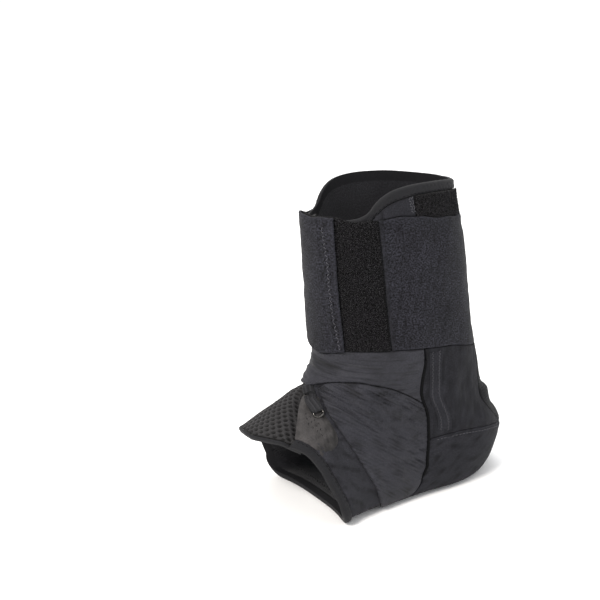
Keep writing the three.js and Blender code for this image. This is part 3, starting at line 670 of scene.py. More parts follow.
# Pitch is the thread spacing along and across, and it, depth, speck and cloud are in millimetres.
# Threads too fine for the picture are drawn as coarse as it needs to show them.
clothRows = {
    # brushed polyester knit laminated to thin foam: dull, with soft lint
    "brushedKnit": ("#242428", "knit", (1.1, 0.8), 0.14, 0.6, 0.88, 0.8, 0.3, 0.16, 14, 0.2, 0.1, 0.03, 0.12),
    # the boot's inside: unbroken loop fleece
    "fleeceLining": ("#202023", "knit", (1.3, 0.9), 0.2, 0.6, 0.95, 0.9, 0.3, 0.16, 18, 0.16, 0.0, 0.1, 0.1),
    # close woven nylon that folds in soft creases and shines a little on them
    "wovenNylon": (
        "#232328", "plain", (0.9, 0.9), 0.09, 0.5, 0.66, 0.9, 0.22, 0.16, 20, 0.14, 0.08, 0.03, 0.2,
    ),
    # stretch knit of the heel and the sides
    "stretchKnit": ("#1f1f23", "knit", (0.9, 0.7), 0.12, 0.5, 0.82, 0.9, 0.3, 0.14, 16, 0.2, 0.08, 0.02, 0.1),
    # wide woven elastic: fine ribs of covered rubber, speckled where the threads part
    "wideElastic": (
        "#1b1b20", "rib", (0.9, 1.2), 0.16, 0.6, 0.84, 1.0, 0.8, 0.16, 15, 0.22, 0.22, 0.03, 0.14,
    ),
    # ribbed elastic behind the heel, nearly black
    "ribbedElastic": ("#121214", "rib", (0.8, 1.5), 0.18, 0.7, 0.8, 0.8, 0.2, 0.25, 12, 0.1, 0.1, 0.02, 0.15),
    # brushed loops for hooks to hold: uneven and nearly black, darker than the same yarn in the loops on it,
    # a painted shade deep in the pile
    "loopPile": ("#080709", "knit", (1.6, 1.3), 0.4, 0.8, 0.95, 1.5, 1.0, 0.2, 7, 0.45, 0.05, 0.05, 0.1),
    # yarn of the loops that stand on the pile and catch the light
    "pileYarn": ("#161518", "twill", (0.5, 0.5), 0.05, 0.2, 0.8, 0.9, 0.3, 0.1, 1.6, 0.8, 0.0, 0.05, 0.2),
    # spacer mesh: smooth round threads round its dimples
    "spacerMesh": ("#252425", "plain", (0.8, 0.8), 0.1, 0.4, 0.7, 0.8, 0.25, 0.1, 12, 0.1, 0.05, 0.04, 0.2),
    # smooth warm grey knit under the lace
    "smoothKnit": ("#363434", "knit", (0.8, 0.6), 0.07, 0.35, 0.78, 0.8, 0.16, 0.08, 9, 0.2, 0.05, 0.05, 0.2),
    # folded stretch binding, darker and a little smoother
    "foldedBinding": (
        "#111114", "twill", (0.9, 0.9), 0.1, 0.5, 0.74, 0.8, 0.12, 0.14, 14, 0.1, 0.15, 0.03, 0.22,
    ),
    # narrow woven tape
    "wovenTape": ("#19191b", "rib", (0.8, 1.4), 0.16, 0.6, 0.7, 0.7, 0.15, 0.18, 10, 0.08, 0.75, 0.02, 0.2),
    # moulded nylon hooks, seen as fine dark rows
    "hookTape": ("#131315", "plain", (1.2, 1.2), 0.3, 0.7, 0.5, 0.7, 0.2, 0.25, 10, 0.05, 0.1, 0.0, 0.25),
    # twisted sewing thread, dark and lighter
    "darkThread": ("#08080a", "twill", (0.5, 0.5), 0.05, 0.3, 0.7, 0.5, 0.1, 0.1, 8, 0.05, 0.0, 0.0, 0.1),
    "greyThread": ("#424246", "twill", (0.5, 0.5), 0.05, 0.3, 0.6, 0.5, 0.1, 0.1, 8, 0.15, 0.0, 0.02, 0.2),
    # bound seam, the darkest line of the brace
    "blackPiping": ("#050506", "twill", (0.7, 0.7), 0.08, 0.4, 0.72, 0.7, 0.1, 0.1, 10, 0.06, 0.0, 0.0, 0.08),
}
finish = {name: clothFinish(name, dict(zip(clothColumns, row))) for name, row in clothRows.items()}


# Black nickel on wire, polished by the tape that slides in it: dark, with bright glints
ringLooks = {"dark": "#383634", "light": "#5a5856", "rough": (0.12, 0.22), "rubbed": 900.0}


def ringFinish():
    material = bpy.data.materials.new("blackNickel")
    material.use_nodes = True
    tree = material.node_tree
    place = addNode(tree, "ShaderNodeTexCoord").outputs["Object"]
    noise = {"Vector": place, "Scale": ringLooks["rubbed"], "Detail": 3.0}
    rubbed = addNode(tree, "ShaderNodeTexNoise", noise).outputs["Fac"]
    low, high = ringLooks["rough"]
    rough = addNode(tree, "ShaderNodeMapRange", {"Value": rubbed, "To Min": low, "To Max": high})
    tones = {0: rubbed, 6: hexToLinear(ringLooks["dark"]), 7: hexToLinear(ringLooks["light"])}
    tint = addNode(tree, "ShaderNodeMix", tones, data_type="RGBA")
    shader = tree.nodes["Principled BSDF"]
    tree.links.new(rough.outputs[0], shader.inputs["Roughness"])
    tree.links.new(tint.outputs[2], shader.inputs["Base Color"])
    shader.inputs["Metallic"].default_value = 1
    return material


finish["blackNickel"] = ringFinish()
print("stage: finishes made")


# What repeats along a seam or on a face is made by geometry nodes

def newTree(name, inputs):
    tree = bpy.data.node_groups.new(name, "GeometryNodeTree")
    tree.interface.new_socket("Geometry", in_out="INPUT", socket_type="NodeSocketGeometry")
    for label, kind, value in inputs:
        socket = tree.interface.new_socket(label, in_out="INPUT", socket_type=kind)
        if value is not None:
            socket.default_value = value
    tree.interface.new_socket("Geometry", in_out="OUTPUT", socket_type="NodeSocketGeometry")
    return tree, addNode(tree, "NodeGroupInput"), addNode(tree, "NodeGroupOutput")


def endTree(tree, given, out, geometry):
    real = addNode(tree, "GeometryNodeRealizeInstances", {"Geometry": geometry})
    paint = {"Geometry": real.outputs[0], "Material": given.outputs["Material"]}
    painted = addNode(tree, "GeometryNodeSetMaterial", paint)
    tree.links.new(painted.outputs[0], out.inputs[0])
    return tree


# Stitches: one short thread at each step along the seam, lying on the cloth
def stitchTree():
    tree, given, out = newTree("seamStitches", [
        ("Stitch", "NodeSocketObject", None), ("Step", "NodeSocketFloat", 0.0024),
        ("Turn", "NodeSocketFloat", 0.0), ("Material", "NodeSocketMaterial", None),
    ])
    curve = addNode(tree, "GeometryNodeMeshToCurve", {"Mesh": given.outputs["Geometry"]})
    steps = {"Curve": curve.outputs[0], "Length": given.outputs["Step"]}
    even = addNode(tree, "GeometryNodeResampleCurve", steps, mode="LENGTH")
    up = addNode(tree, "GeometryNodeInputNamedAttribute", {"Name": "clothNormal"}, data_type="FLOAT_VECTOR")
    ahead = addNode(tree, "GeometryNodeInputTangent")
    facing = addNode(tree, "FunctionNodeAlignRotationToVector", {"Vector": up.outputs[0]}, axis="Z")
    lying = addNode(
        tree, "FunctionNodeAlignRotationToVector",
        {"Rotation": facing.outputs[0], "Vector": ahead.outputs[0]}, axis="X", pivot_axis="Z",
    )
    # every second stitch turns the other way, which makes a zigzag
    count = addNode(tree, "GeometryNodeInputIndex")
    odd = addNode(tree, "ShaderNodeMath", {0: count.outputs[0], 1: 2.0}, operation="MODULO")
    sign = addNode(tree, "ShaderNodeMath", {0: odd.outputs[0], 1: 2.0, 2: -1.0}, operation="MULTIPLY_ADD")
    turns = {0: sign.outputs[0], 1: given.outputs["Turn"]}
    turned = addNode(tree, "ShaderNodeMath", turns, operation="MULTIPLY")
    angles = addNode(tree, "ShaderNodeCombineXYZ", {2: turned.outputs[0]})
    spin = addNode(
        tree, "FunctionNodeRotateRotation", {"Rotation": lying.outputs[0], "Rotate By": angles.outputs[0]},
        rotation_space="LOCAL",
    )
    stitch = addNode(tree, "GeometryNodeObjectInfo", {"Object": given.outputs["Stitch"]})
    laid = addNode(
        tree, "GeometryNodeInstanceOnPoints",
        {"Points": even.outputs[0], "Instance": stitch.outputs["Geometry"], "Rotation": spin.outputs[0]},
    )
    return endTree(tree, given, out, laid.outputs[0])


# Tufts of the pile: small bent loops thrown over a face by a fixed seed
def tuftTree():
    tree, given, out = newTree("pileTufts", [
        ("Tuft", "NodeSocketObject", None), ("Density", "NodeSocketFloat", 2e6),
        ("Seed", "NodeSocketInt", 7), ("Material", "NodeSocketMaterial", None),
    ])
    face, density, seed = (given.outputs[name] for name in ("Geometry", "Density", "Seed"))
    scatter = {"Mesh": face, "Density": density, "Seed": seed}
    spots = addNode(tree, "GeometryNodeDistributePointsOnFaces", scatter)
    leans = {0: (-0.7, -0.7, 0.0), 1: (0.7, 0.7, 6.28), "Seed": seed}  # to either side, and any way round
    lean = addNode(tree, "FunctionNodeRandomValue", leans, data_type="FLOAT_VECTOR")
    spin = addNode(
        tree, "FunctionNodeRotateRotation",
        {"Rotation": spots.outputs["Rotation"], "Rotate By": lean.outputs[0]}, rotation_space="LOCAL",
    )
    size = addNode(tree, "FunctionNodeRandomValue", {2: 0.6, 3: 1.25, "Seed": seed}, data_type="FLOAT")
    tuft = addNode(tree, "GeometryNodeObjectInfo", {"Object": given.outputs["Tuft"]})
    laid = addNode(
        tree, "GeometryNodeInstanceOnPoints",
        {
            "Points": spots.outputs["Points"], "Instance": tuft.outputs["Geometry"],
            "Rotation": spin.outputs[0], "Scale": size.outputs[1],
        },
    )
    return endTree(tree, given, out, laid.outputs[0])


# Piping: a round cord along the seam
def pipingTree():
    tree, given, out = newTree("seamPiping", [
        ("Radius", "NodeSocketFloat", 0.0007), ("Material", "NodeSocketMaterial", None),
    ])
    curve = addNode(tree, "GeometryNodeMeshToCurve", {"Mesh": given.outputs["Geometry"]})
    steps = {"Curve": curve.outputs[0], "Length": 0.8 * mm}
    even = addNode(tree, "GeometryNodeResampleCurve", steps, mode="LENGTH")
    section = {"Resolution": 8, "Radius": given.outputs["Radius"]}
    ring = addNode(tree, "GeometryNodeCurvePrimitiveCircle", section)
    cord = addNode(
        tree, "GeometryNodeCurveToMesh",
        {"Curve": even.outputs[0], "Profile Curve": ring.outputs[0], "Fill Caps": True},
    )
    smooth = addNode(tree, "GeometryNodeSetShadeSmooth", {"Geometry": cord.outputs[0]})
    return endTree(tree, given, out, smooth.outputs[0])


trees = {"stitches": stitchTree(), "tufts": tuftTree(), "piping": pipingTree()}


def spreadNodes(piece, tree, values):
    # runs the tree on the piece and keeps the result as its plain mesh
    modifier = piece.modifiers.new(tree.name, "NODES")
    modifier.node_group = tree
    for socket in tree.interface.items_tree:
        if socket.item_type == "SOCKET" and socket.in_out == "INPUT" and socket.name in values:
            modifier[socket.identifier] = values[socket.name]
    bpy.context.view_layer.update()
    evaluated = piece.evaluated_get(bpy.context.evaluated_depsgraph_get())
    made = bpy.data.meshes.new_from_object(evaluated)
    piece.modifiers.remove(modifier)
    old = piece.data
    piece.data = made
    bpy.data.meshes.remove(old)


def seamObject(name, lines):
    # lines: (points of u and v, height over the form) laid on the cloth as plain edges
    points, normals, edges = [], [], []
    for line, height in lines:
        u, v = np.asarray(line, float).T
        start = len(points)
        points += lifted(u, v, height).tolist()
        normals += formNormal(u, v).tolist()
        edges += [(k, k + 1) for k in range(start, len(points) - 1)]
    mesh = newMesh(name, points, [], edges)
    up = mesh.attributes.new("clothNormal", "FLOAT_VECTOR", "POINT")
    up.data.foreach_set("vector", np.array(normals).ravel())
    return newPiece(name, mesh)


def stitchShape(name, length, thick, sink):
    # a short thread that dives into the cloth at both ends
    sides, rings = 6, 5
    points = []
    for t in np.linspace(0, 1, rings):
        bow = max(0.0, math.sin(math.pi * t))
        radius = thick / 2 * (0.35 + 0.65 * bow**0.5)
        for a in np.arange(sides) * 2 * math.pi / sides:
            points.append(((t - 0.5) * length, radius * math.cos(a), radius * math.sin(a) + sink * (bow - 1)))
    mesh = newMesh(name, points, tubeFaces(rings, sides))
    mesh.shade_smooth()
    return bpy.data.objects.new(name, mesh)


def tuftShape(name, tall, wide, yarn):
    # a loop of yarn bent over, as a flat triangle-sided arch
    sides, rings = 3, 5
    points = []
    for a in np.linspace(0, math.pi, rings):
        for b in np.arange(sides) * 2 * math.pi / sides:
            reach = yarn * math.cos(b)
            points.append((math.cos(a) * (wide + reach), yarn * math.sin(b), math.sin(a) * (tall + reach)))
    mesh = newMesh(name, points, [face[::-1] for face in tubeFaces(rings, sides)])
    mesh.shade_smooth()
    return bpy.data.objects.new(name, mesh)


# Threads: length, thickness and how deep the ends dive. Yarn loop: height, half width and thickness
patterns = {
    "stitch": stitchShape("threadStitch", 1.9, 0.42, 0.22),
    "bar": stitchShape("threadBar", 2.2, 0.4, 0.2),
    "fine": stitchShape("fineThread", 1.5, 0.26, 0.12),
    # dark marks laid where needle holes are: painted shade in the holes
    "holeShade": stitchShape("needleHole", 1.6, 0.9, 0.05),
    "tuft": tuftShape("yarnLoop", 0.55, 0.36, 0.17),
}


# Rows of stitches: height over the form, step, turn, shape, thread and slot
stitchRows = {
    "tabStitches": (6.35, 2.1, 0.75, "bar", "greyThread", "wide_elastic"),
    "tabHoles": (6.1, 4.2, 0.0, "holeShade", "darkThread", "wide_elastic"),
    "sideTapeStitches": (4.9, 1.1, 1.0, "fine", "greyThread", "webbing"),
    "heelSeamStitches": (4.12, 2.6, 0.0, "stitch", "greyThread", "stretch_knit"),
    "eyestayStitches": (3.3, 2.4, 0.5, "fine", "darkThread", "smooth_cloth"),
    "toeBindingStitches": (2.74, 2.6, 0.0, "stitch", "darkThread", "binding"),
    "collarStitches": (2.74, 2.6, 0.0, "stitch", "darkThread", "binding"),
    "collarPatchStitches": (3.02, 1.5, 0.9, "bar", "greyThread", "padded_cloth"),
}


def sewStitches(kind, lines, where=""):
    height, step, turn, shape, thread, slot = stitchRows[kind]
    piece = seamObject(kind + where, [(line, height) for line in lines])
    spreadNodes(piece, trees["stitches"], {
        "Stitch": patterns[shape], "Step": step * mm, "Turn": turn, "Material": finish[thread],
    })
    finishPiece(piece, slot)


print("stage: patterns made")


# The camera and the light

view = {
    "azimuth": -33, "elevation": 19.8, "roll": 0.85, "distance": 0.8,
    "target": Vector((-0.01907, 0.003009, 0.0786)), "lens": 82.3, "shift": (-0.0855, 0.1068),
}


def makeCamera():
    data = bpy.data.cameras.new("camera")
    data.lens, data.sensor_width = view["lens"], 36
    data.shift_x, data.shift_y = view["shift"]
    data.clip_start, data.clip_end = 0.01, 20
    camera = bpy.data.objects.new("camera", data)
    a, e = math.radians(view["azimuth"]), math.radians(view["elevation"])
    back = Vector((math.sin(a) * math.cos(e), -math.cos(a) * math.cos(e), math.sin(e)))
    camera.location = view["target"] + back * view["distance"]
    turn = (-back).to_track_quat("-Z", "Y").to_matrix().to_4x4()
    camera.rotation_euler = (turn @ Matrix.Rotation(math.radians(view["roll"]), 4, "Z")).to_euler()
    bpy.context.scene.collection.objects.link(camera)
    bpy.context.scene.camera = camera


def areaLight(name, place, size, power, colour):
    data = bpy.data.lights.new(name, "AREA")
    data.shape, data.size, data.energy = "DISK", size, power
    data.color = hexToLinear(colour)[:3]
    light = bpy.data.objects.new(name, data)
    light.location = place
    light.rotation_euler = (Vector((0, 0, 0.08)) - Vector(place)).to_track_quat("-Z", "Y").to_euler()
    bpy.context.scene.collection.objects.link(light)


# Softboxes: place, width, watts and colour
lights = {
    "keyLight": ((-1.35, -0.6, 1.3), 0.6, 34, "#fffaf4"),
    "fillLight": ((0.9, -1.3, 0.6), 1.0, 3, "#f4f7ff"),
    "topLight": ((0.1, 0.2, 1.7), 1.0, 12, "#ffffff"),
}
floorSizes = {"half": 12000, "drop": 0.2, "colour": "#ffffff"}


def makeStage():
    scene = bpy.context.scene
    scene.view_settings.view_transform = "Standard"
    world = bpy.data.worlds.new("studio")
    world.use_nodes = True
    sky = world.node_tree.nodes["Background"].inputs
    sky["Color"].default_value = hexToLinear("#ffffff")
    sky["Strength"].default_value = 1.0
    scene.world = world
    for name, values in lights.items():
        areaLight(name, *values)
    half, low = floorSizes["half"], -floorSizes["drop"]
    corners = [(-half, -half, low), (half, -half, low), (half, half, low), (-half, half, low)]
    floor = newPiece("studioFloor", newMesh("studioFloor", corners, [(0, 1, 2, 3)]))
    material = bpy.data.materials.new("paleFloor")
    material.use_nodes = True
    shader = material.node_tree.nodes["Principled BSDF"].inputs
    shader["Base Color"].default_value = hexToLinear(floorSizes["colour"])
    shader["Roughness"].default_value = 1
    shader["Specular IOR Level"].default_value = 0
    floor.data.materials.append(material)
    floor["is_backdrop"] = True


makeCamera()
makeStage()
print("stage: camera and light set")


# The padded boot and its bindings

bootSizes = {
    "cell": 1.25, "roll": 0.9, "rollFrom": 4.5, "rollWidth": 4.5, "rollRound": (0.1, 0.14),
    "flatBelow": (3.5, 8), "uneven": 0.12, "shading": 0.35,
}


def makeBoot():
    size = bootSizes
    a, b = spanLine(collarInner, *collarEnds), spanLine(toeInner, *toeEnds)
    outer, inner = (
        throatPart(edge, meet(edge, collarInner), meet(edge, toeInner)) for edge in (throatOuter, throatInner)
    )
    grid = layGrid(a, b, outer, inner + [1, 0], cell=size["cell"], inset=(0, 0, 0.2, 0.2))
    x, y, z = np.moveaxis(grid["point"], -1, 0)
    # the padding swells next to the toe binding, away from the straps
    swell = size["roll"] * bell(grid["fromB"] - size["rollFrom"], size["rollWidth"])
    swell = swell * smoothStep(*size["rollRound"], fromFront(grid["u"])) * (1 - onSole(grid["u"], grid["v"]))
    relief = (swell + size["uneven"] * ripple(x / 9, z / 9 + y / 11, 31)) * smoothStep(*size["flatBelow"], z)
    piece = makeCloth(
        "paddedBoot", grid, 0, layer["boot"], relief, ("brushedKnit", "fleeceLining"), "padded_cloth",
        ("boot_body",), lowest=0.5, coarse=3, dark=size["shading"] * ripple(x / 8, z / 8 + y / 9, 88),
    )


bindingSizes = {
    "cell": 0.7, "edge": 1.6, "lap": 0.4, "toeHigh": 2.75, "collarHigh": 2.75, "underCuff": 2, "gather": 0.1,
}


def lapped(edge, reach):
    # the same edge, moved down the form by a distance in millimetres
    return lambda u: edge(u) + shareOfV(u, edge(u), reach)


def toeHeight(u, v):
    high = bindingSizes["toeHigh"]
    return high + (layer["sole"] - high) * onSole(u, v)


def collarHeight(u, v):
    # it is pressed flat where the cuff lies over it
    low, high = bindingSizes["underCuff"], bindingSizes["collarHigh"]
    return low + (high - low) * smoothStep(0.006, 0.02, cuffTopEdge(u) - v)


def makeBinding(name, node, a, b, height, seed):
    size = bindingSizes
    grid = layGrid(a, b, cell=size["cell"], inset=(0, 0, 0.2, 0.2), edge=size["edge"])
    gather = size["gather"] * ripple(grid["fromStart"] / 5, grid["fromA"] / 9, seed)
    relief = gather * (1 - onSole(grid["u"], grid["v"]))
    makeCloth(name, grid, 0, height, relief, ("foldedBinding",), "binding", (node,), lowest=0.2)


makeBoot()
lap = bindingSizes["lap"]
toeLines = spanLine(lapped(toeInner, -lap), *toeEnds), spanLine(toeEdge, *toeEnds)
collarLines = spanLine(collarEdge, *collarEnds), spanLine(lapped(collarInner, lap), *collarEnds)
makeBinding("toeBinding", "front_binding", *toeLines, toeHeight, 41)
makeBinding("collarBinding", "collar_binding", *collarLines, collarHeight, 42)
print("stage: boot and bindings made")


# The tongue is spacer mesh with staggered oval dimples, and shows at the instep and inside

tongueSizes = {
    "acrossPitch": 4.9, "alongPitch": 5.0, "ovalAcross": 1.3, "ovalAlong": 1.0, "depth": 1.5, "shading": 0.85,
    "start": 0.02, "end": 0.93, "meshFrom": 0.56, "margin": 0.03, "wall": 1.8, "crown": 0.25,
    "upperCell": 1.3, "meshCell": 0.42,
    "instepRise": 2.7, "riseAcross": 0.028, "riseAlong": (0.62, 0.7), "binding": (-2.7, -0.3),
}


def dimples(across, along):
    size = tongueSizes
    p, q = size["acrossPitch"], size["alongPitch"]
    deepest = 0
    for shift in (0, 0.5):  # two grids of holes, staggered
        x = (across / p + shift) % 1 - 0.5
        y = (along / q + shift) % 1 - 0.5
        gap = np.hypot(x * p / size["ovalAcross"], y * q / size["ovalAlong"])
        deepest = np.maximum(deepest, 1 - smoothStep(0.55, 1.35, gap))
    return -size["depth"] * deepest


def overInstep(height):
    # the tongue rises between the throat's edges, over the instep
    def raised(u, v):
        size = tongueSizes
        gap = np.minimum(u - placeAt(throatInner, v), placeAt(throatOuter, v) - u)
        rise = smoothStep(0, size["riseAcross"], gap) * smoothStep(*size["riseAlong"], v)
        return height + size["instepRise"] * rise

    return raised


def makeTongue():
    size = tongueSizes
    inner, outer = (
        throatPart(line, size["start"], size["end"]) + [way * size["margin"], 0]
        for line, way in ((throatInner, -1), (throatOuter, 1))
    )
    foot = spanLine(tongueFoot, inner[-1, 0], outer[-1, 0])
    ends = inner[-1, 0], outer[-1, 0]
    inner, outer = np.vstack([inner, foot[:1]]), np.vstack([outer, foot[-1:]])
    upper, lower = (
        [resample(line, np.linspace(*span, 200)) for line in (inner, outer)]
        for span in ((0, size["meshFrom"]), (size["meshFrom"], 1))
    )
    top, cut = np.linspace(inner[0], outer[0], 60), np.linspace(upper[0][-1], upper[1][-1], 60)
    for name, a, b, sides, cell, inset, nodes in (
        ("tongueUpper", top, cut, upper, size["upperCell"], (0.2, 0, 0.2, 0.2), ("tongue",)),
        ("tongueMesh", cut, foot, lower, size["meshCell"], (0, 0.1, 0.2, 0.2), ()),
    ):
        grid = layGrid(a, b, *sides, cell=cell, inset=inset, edge=0.7)
        middle = grid["fromStart"] - grid["fromStart"][-1:] / 2
        relief = dimples(middle, grid["fromA"]) if name == "tongueMesh" else 0 * middle
        low, high = (overInstep(layer["tongue"] + wall) for wall in (-size["wall"], size["crown"]))
        # the dimples are painted darker by their depth: painted shade in the hollows
        dark = -size["shading"] * relief / size["depth"]
        piece = makeCloth(
            name, grid, low, high, relief, ("spacerMesh",), "spacer_mesh", nodes, coarse=6, dark=dark
        )
    # narrow binding along its foot
    grid = layGrid(
        spanLine(tongueFoot, *ends), spanLine(toeEdge, *ends), cell=0.45, inset=(0.05, 0, 0.1, 0.1), edge=0.8
    )
    low, high = (overInstep(height) for height in size["binding"])
    makeCloth(
        "tongueBinding", grid, low, high, 0, ("foldedBinding",), "binding", ("tongue_edge",), lowest=0.2
    )


makeTongue()
print("stage: tongue made")


# Straps and panels that are sewn over the boot

# Rows of folds: line over u and v, height, width before the crest and width after it
strapFolds = [
    ([(0.057, 0.595), (0.112, 0.635), (0.15, 0.67), (0.19, 0.705), (0.222, 0.735)], 1.5, 2.9, 1.3),
    ([(0.107, 0.565), (0.143, 0.6), (0.175, 0.625), (0.2, 0.652)], 1.25, 2.3, 1.1),
    ([(0.08, 0.555), (0.128, 0.585), (0.167, 0.6), (0.202, 0.62)], 1.0, 1.9, 1.0),
    ([(0.045, 0.675), (0.102, 0.725), (0.163, 0.76), (0.225, 0.785), (0.275, 0.8)], 1.0, 4.5, 2.4),
    ([(0.05, 0.63), (0.11, 0.68), (0.16, 0.715), (0.21, 0.745)], 0.9, 2.6, 1.3),
    ([(0.13, 0.53), (0.165, 0.558), (0.198, 0.585)], 0.8, 1.9, 1.0),
    ([(0.153, 0.6), (0.182, 0.625), (0.203, 0.642)], -0.6, 1.3, 1.3),
    ([(0.2, 0.72), (0.23, 0.775), (0.27, 0.815)], 0.7, 3.4, 2.0),
]
bandFolds = [
    ([(0.005, 0.565), (0.075, 0.435), (0.143, 0.405), (0.198, 0.415)], 0.7, 2.2, 1.0),
    ([(-0.017, 0.65), (0.045, 0.54), (0.105, 0.465), (0.15, 0.455)], 0.65, 2.0, 1.0),
    ([(0.06, 0.52), (0.11, 0.47), (0.16, 0.46), (0.2, 0.475)], 0.55, 1.8, 1.2),
]
quarterFolds = [
    ([(0.3, 0.4), (0.29, 0.47), (0.3, 0.54)], 0.6, 5.0, 3.5),
    ([(0.35, 0.41), (0.345, 0.48), (0.335, 0.55)], 0.5, 4.5, 2.6),
    ([(0.26, 0.6), (0.31, 0.57), (0.37, 0.56)], 0.5, 3.0, 1.8),
]
heelFolds = [
    ([(0.25, 0.69), (0.32, 0.66), (0.4, 0.64), (0.47, 0.635)], 0.7, 4.5, 3.0),
    ([(0.28, 0.73), (0.34, 0.71), (0.41, 0.7)], 0.6, 4.5, 2.6),
]


bandLine = seamLine("bandFoot")
rearTop, rearMiddle, rearFoot = (seamLine(name) for name in ("rearLineTop", "rearLineMiddle", "rearLineFoot"))
heelSide, heelBack = seamLine("heelSeamSide"), seamLine("heelSeamBack")


def sewnOn(wall):
    base = layer["strap"] + wall
    return lambda u, v: base + (layer["sole"] - base) * onSole(u, v)


def roundHeel(grid, rows):
    # the folds of both sides, on a piece that runs through under the heel
    return np.where(grid["u"] < 0.5, folds(grid, rows), folds(grid, rows, lambda p: onInnerSide(p) + [1, 0]))


def clearOfSole(grid):
    return (1 - onSole(grid["u"], grid["v"])) * smoothStep(4, 14, grid["point"][..., 2])


def waves(x, y, wave, seed):
    # wave: height, and its length over x and over y in millimetres
    height, lengthX, lengthY = wave
    return height * ripple(x / lengthX, y / lengthY, seed)


stirrupSizes = {
    "wall": 1.2, "cell": 0.72, "lean": 0.62, "drawn": (0.6, 2.8, 24), "uneven": (0.2, 13, 13),
    "streak": (0.36, 1.9, 50), "blotch": (0.36, 15, 12),
}


def makeStirrup():
    size = stirrupSizes
    underBand = bandLine[bandLine[:, 0] > 0.04]
    rear = evenly(np.vstack([underBand, rearMiddle[1:], rearFoot[1:]]))
    front = evenly(seamLine("frontLine"))
    inset = (0.2, 0.45, 0.2, 0.2)
    grid = layGrid(throughBack(front), throughBack(rear), cell=size["cell"], inset=inset, edge=0.9)
    x, _, z = np.moveaxis(grid["point"], -1, 0)
    # fine drawn lines lie along the folds
    slant = z + size["lean"] * x
    drawn = waves(slant, x - z, size["drawn"], 51) + waves(x, z, size["uneven"], 52)
    streaks = waves(slant, x - z, size["streak"], 81) + waves(x, z, size["blotch"], 85)
    makeCloth(
        "stirrupStrap", grid, layer["strap"], sewnOn(size["wall"]),
        (roundHeel(grid, strapFolds) + drawn) * clearOfSole(grid),
        ("wovenNylon",), "smooth_cloth", ("stirrup_strap",), dark=streaks,
    )


bandSizes = {
    "cell": 0.62, "drawn": (0.24, 2.6, 22), "uneven": (0.2, 14, 10), "streak": (0.3, 1.9, 46),
    "blotch": (0.3, 15, 12),
}


def makeBand():
    size = bandSizes
    inner = onInnerSide(rearTop)
    foot = evenly(np.vstack([onInnerSide(bandLine)[::-1], bandLine[1:]]))
    top = spanLine(cuffFootEdge, inner[0, 0], rearTop[0, 0])
    grid = layGrid(top, foot, inner, rearTop, cell=size["cell"], inset=(0.1, 0.25, 0.45, 0.45), edge=0.9)
    x, y, z = np.moveaxis(grid["point"], -1, 0)
    creases = folds(grid, bandFolds) + folds(grid, bandFolds, onInnerSide)
    drawn = waves(z, x + y, size["drawn"], 53) + waves(x - y, z, size["uneven"], 54)
    streaks = waves(z, x + y, size["streak"], 82) + waves(x, z, size["blotch"], 86)
    makeCloth(
        "instepBand", grid, layer["strap"], layer["band"], creases + drawn,
        ("wovenNylon",), "smooth_cloth", ("instep_band",), dark=streaks,
    )


quarterSizes = {
    "cell": 0.7, "uneven": (0.12, 7, 12), "groove": 0.25, "grooveWide": 2.2, "shade": 0.26,
    "blotch": (0.14, 9, 11),
}


def makeQuarter(where, side):
    size = quarterSizes
    front, back = evenly(np.vstack([rearTop, rearMiddle[1:]])), evenly(seamLine("achillesEdge"))
    top = spanLine(cuffFootEdge, front[0, 0], back[0, 0])
    lines = [side(line) for line in (top, heelSide, front, back)]
    grid = layGrid(*lines, cell=size["cell"], inset=(0.1, 0.15, 0.45, 0.15), edge=0.8)
    x, y, z = np.moveaxis(grid["point"], -1, 0)
    groove = size["groove"] * bell(grid["fromB"], size["grooveWide"])
    # the whole quarter is darkened by a fixed share, a painted shade, with random waves of tone
    streaks = size["shade"] + 0.12 * ripple(x / 3 + y / 9, z / 24, 83) + waves(x, z, size["blotch"], 90)
    makeCloth(
        "rearQuarter_" + where, grid, layer["strap"], layer["quarter"],
        folds(grid, quarterFolds, side) + waves(x, z, size["uneven"], 55) - groove,
        ("stretchKnit",), "stretch_knit", ("rear_quarter_" + where,), lowest=0.7, grimeAndShade=0.2, dark=streaks,
    )


heelSizes = {
    "wall": 1.8, "cell": 0.75, "groove": 0.15, "grooveWide": 1.6, "uneven": 0.3, "streak": (0.26, 16, 4),
    "blotch": (0.34, 17, 9),
}


def makeHeelCup():
    size = heelSizes
    upper, lower = evenly(np.vstack([heelSide, heelBack[1:]]))[3:], evenly(rearFoot)[3:]
    inset = (0.15, 0.45, 0.2, 0.2)
    grid = layGrid(throughBack(upper), throughBack(lower), cell=size["cell"], inset=inset, edge=0.8)
    x, y, z = np.moveaxis(grid["point"], -1, 0)
    groove = size["groove"] * bell(grid["fromA"], size["grooveWide"])
    uneven = size["uneven"] * ripple(x / 9, z / 6 + y / 14, 56)
    streaks = waves(x + z, z - 0.5 * x, size["streak"], 84) + waves(x, z, size["blotch"], 89)
    makeCloth(
        "heelCup", grid, layer["strap"], sewnOn(size["wall"]),
        (roundHeel(grid, heelFolds) - groove + uneven) * clearOfSole(grid),
        ("stretchKnit",), "stretch_knit", ("heel_cup",), lowest=0.7, grimeAndShade=0.2, dark=streaks,
    )


# The panel swells over the tendon, then thins again down to the heel seam
achillesSizes = {
    "cell": 0.4, "swell": 2.9, "swellAlong": (0.465, 0.493), "thin": 2.7, "thinAlong": (0.49, 0.545),
    "cord": 0.3, "cordPitch": 1.9,
}


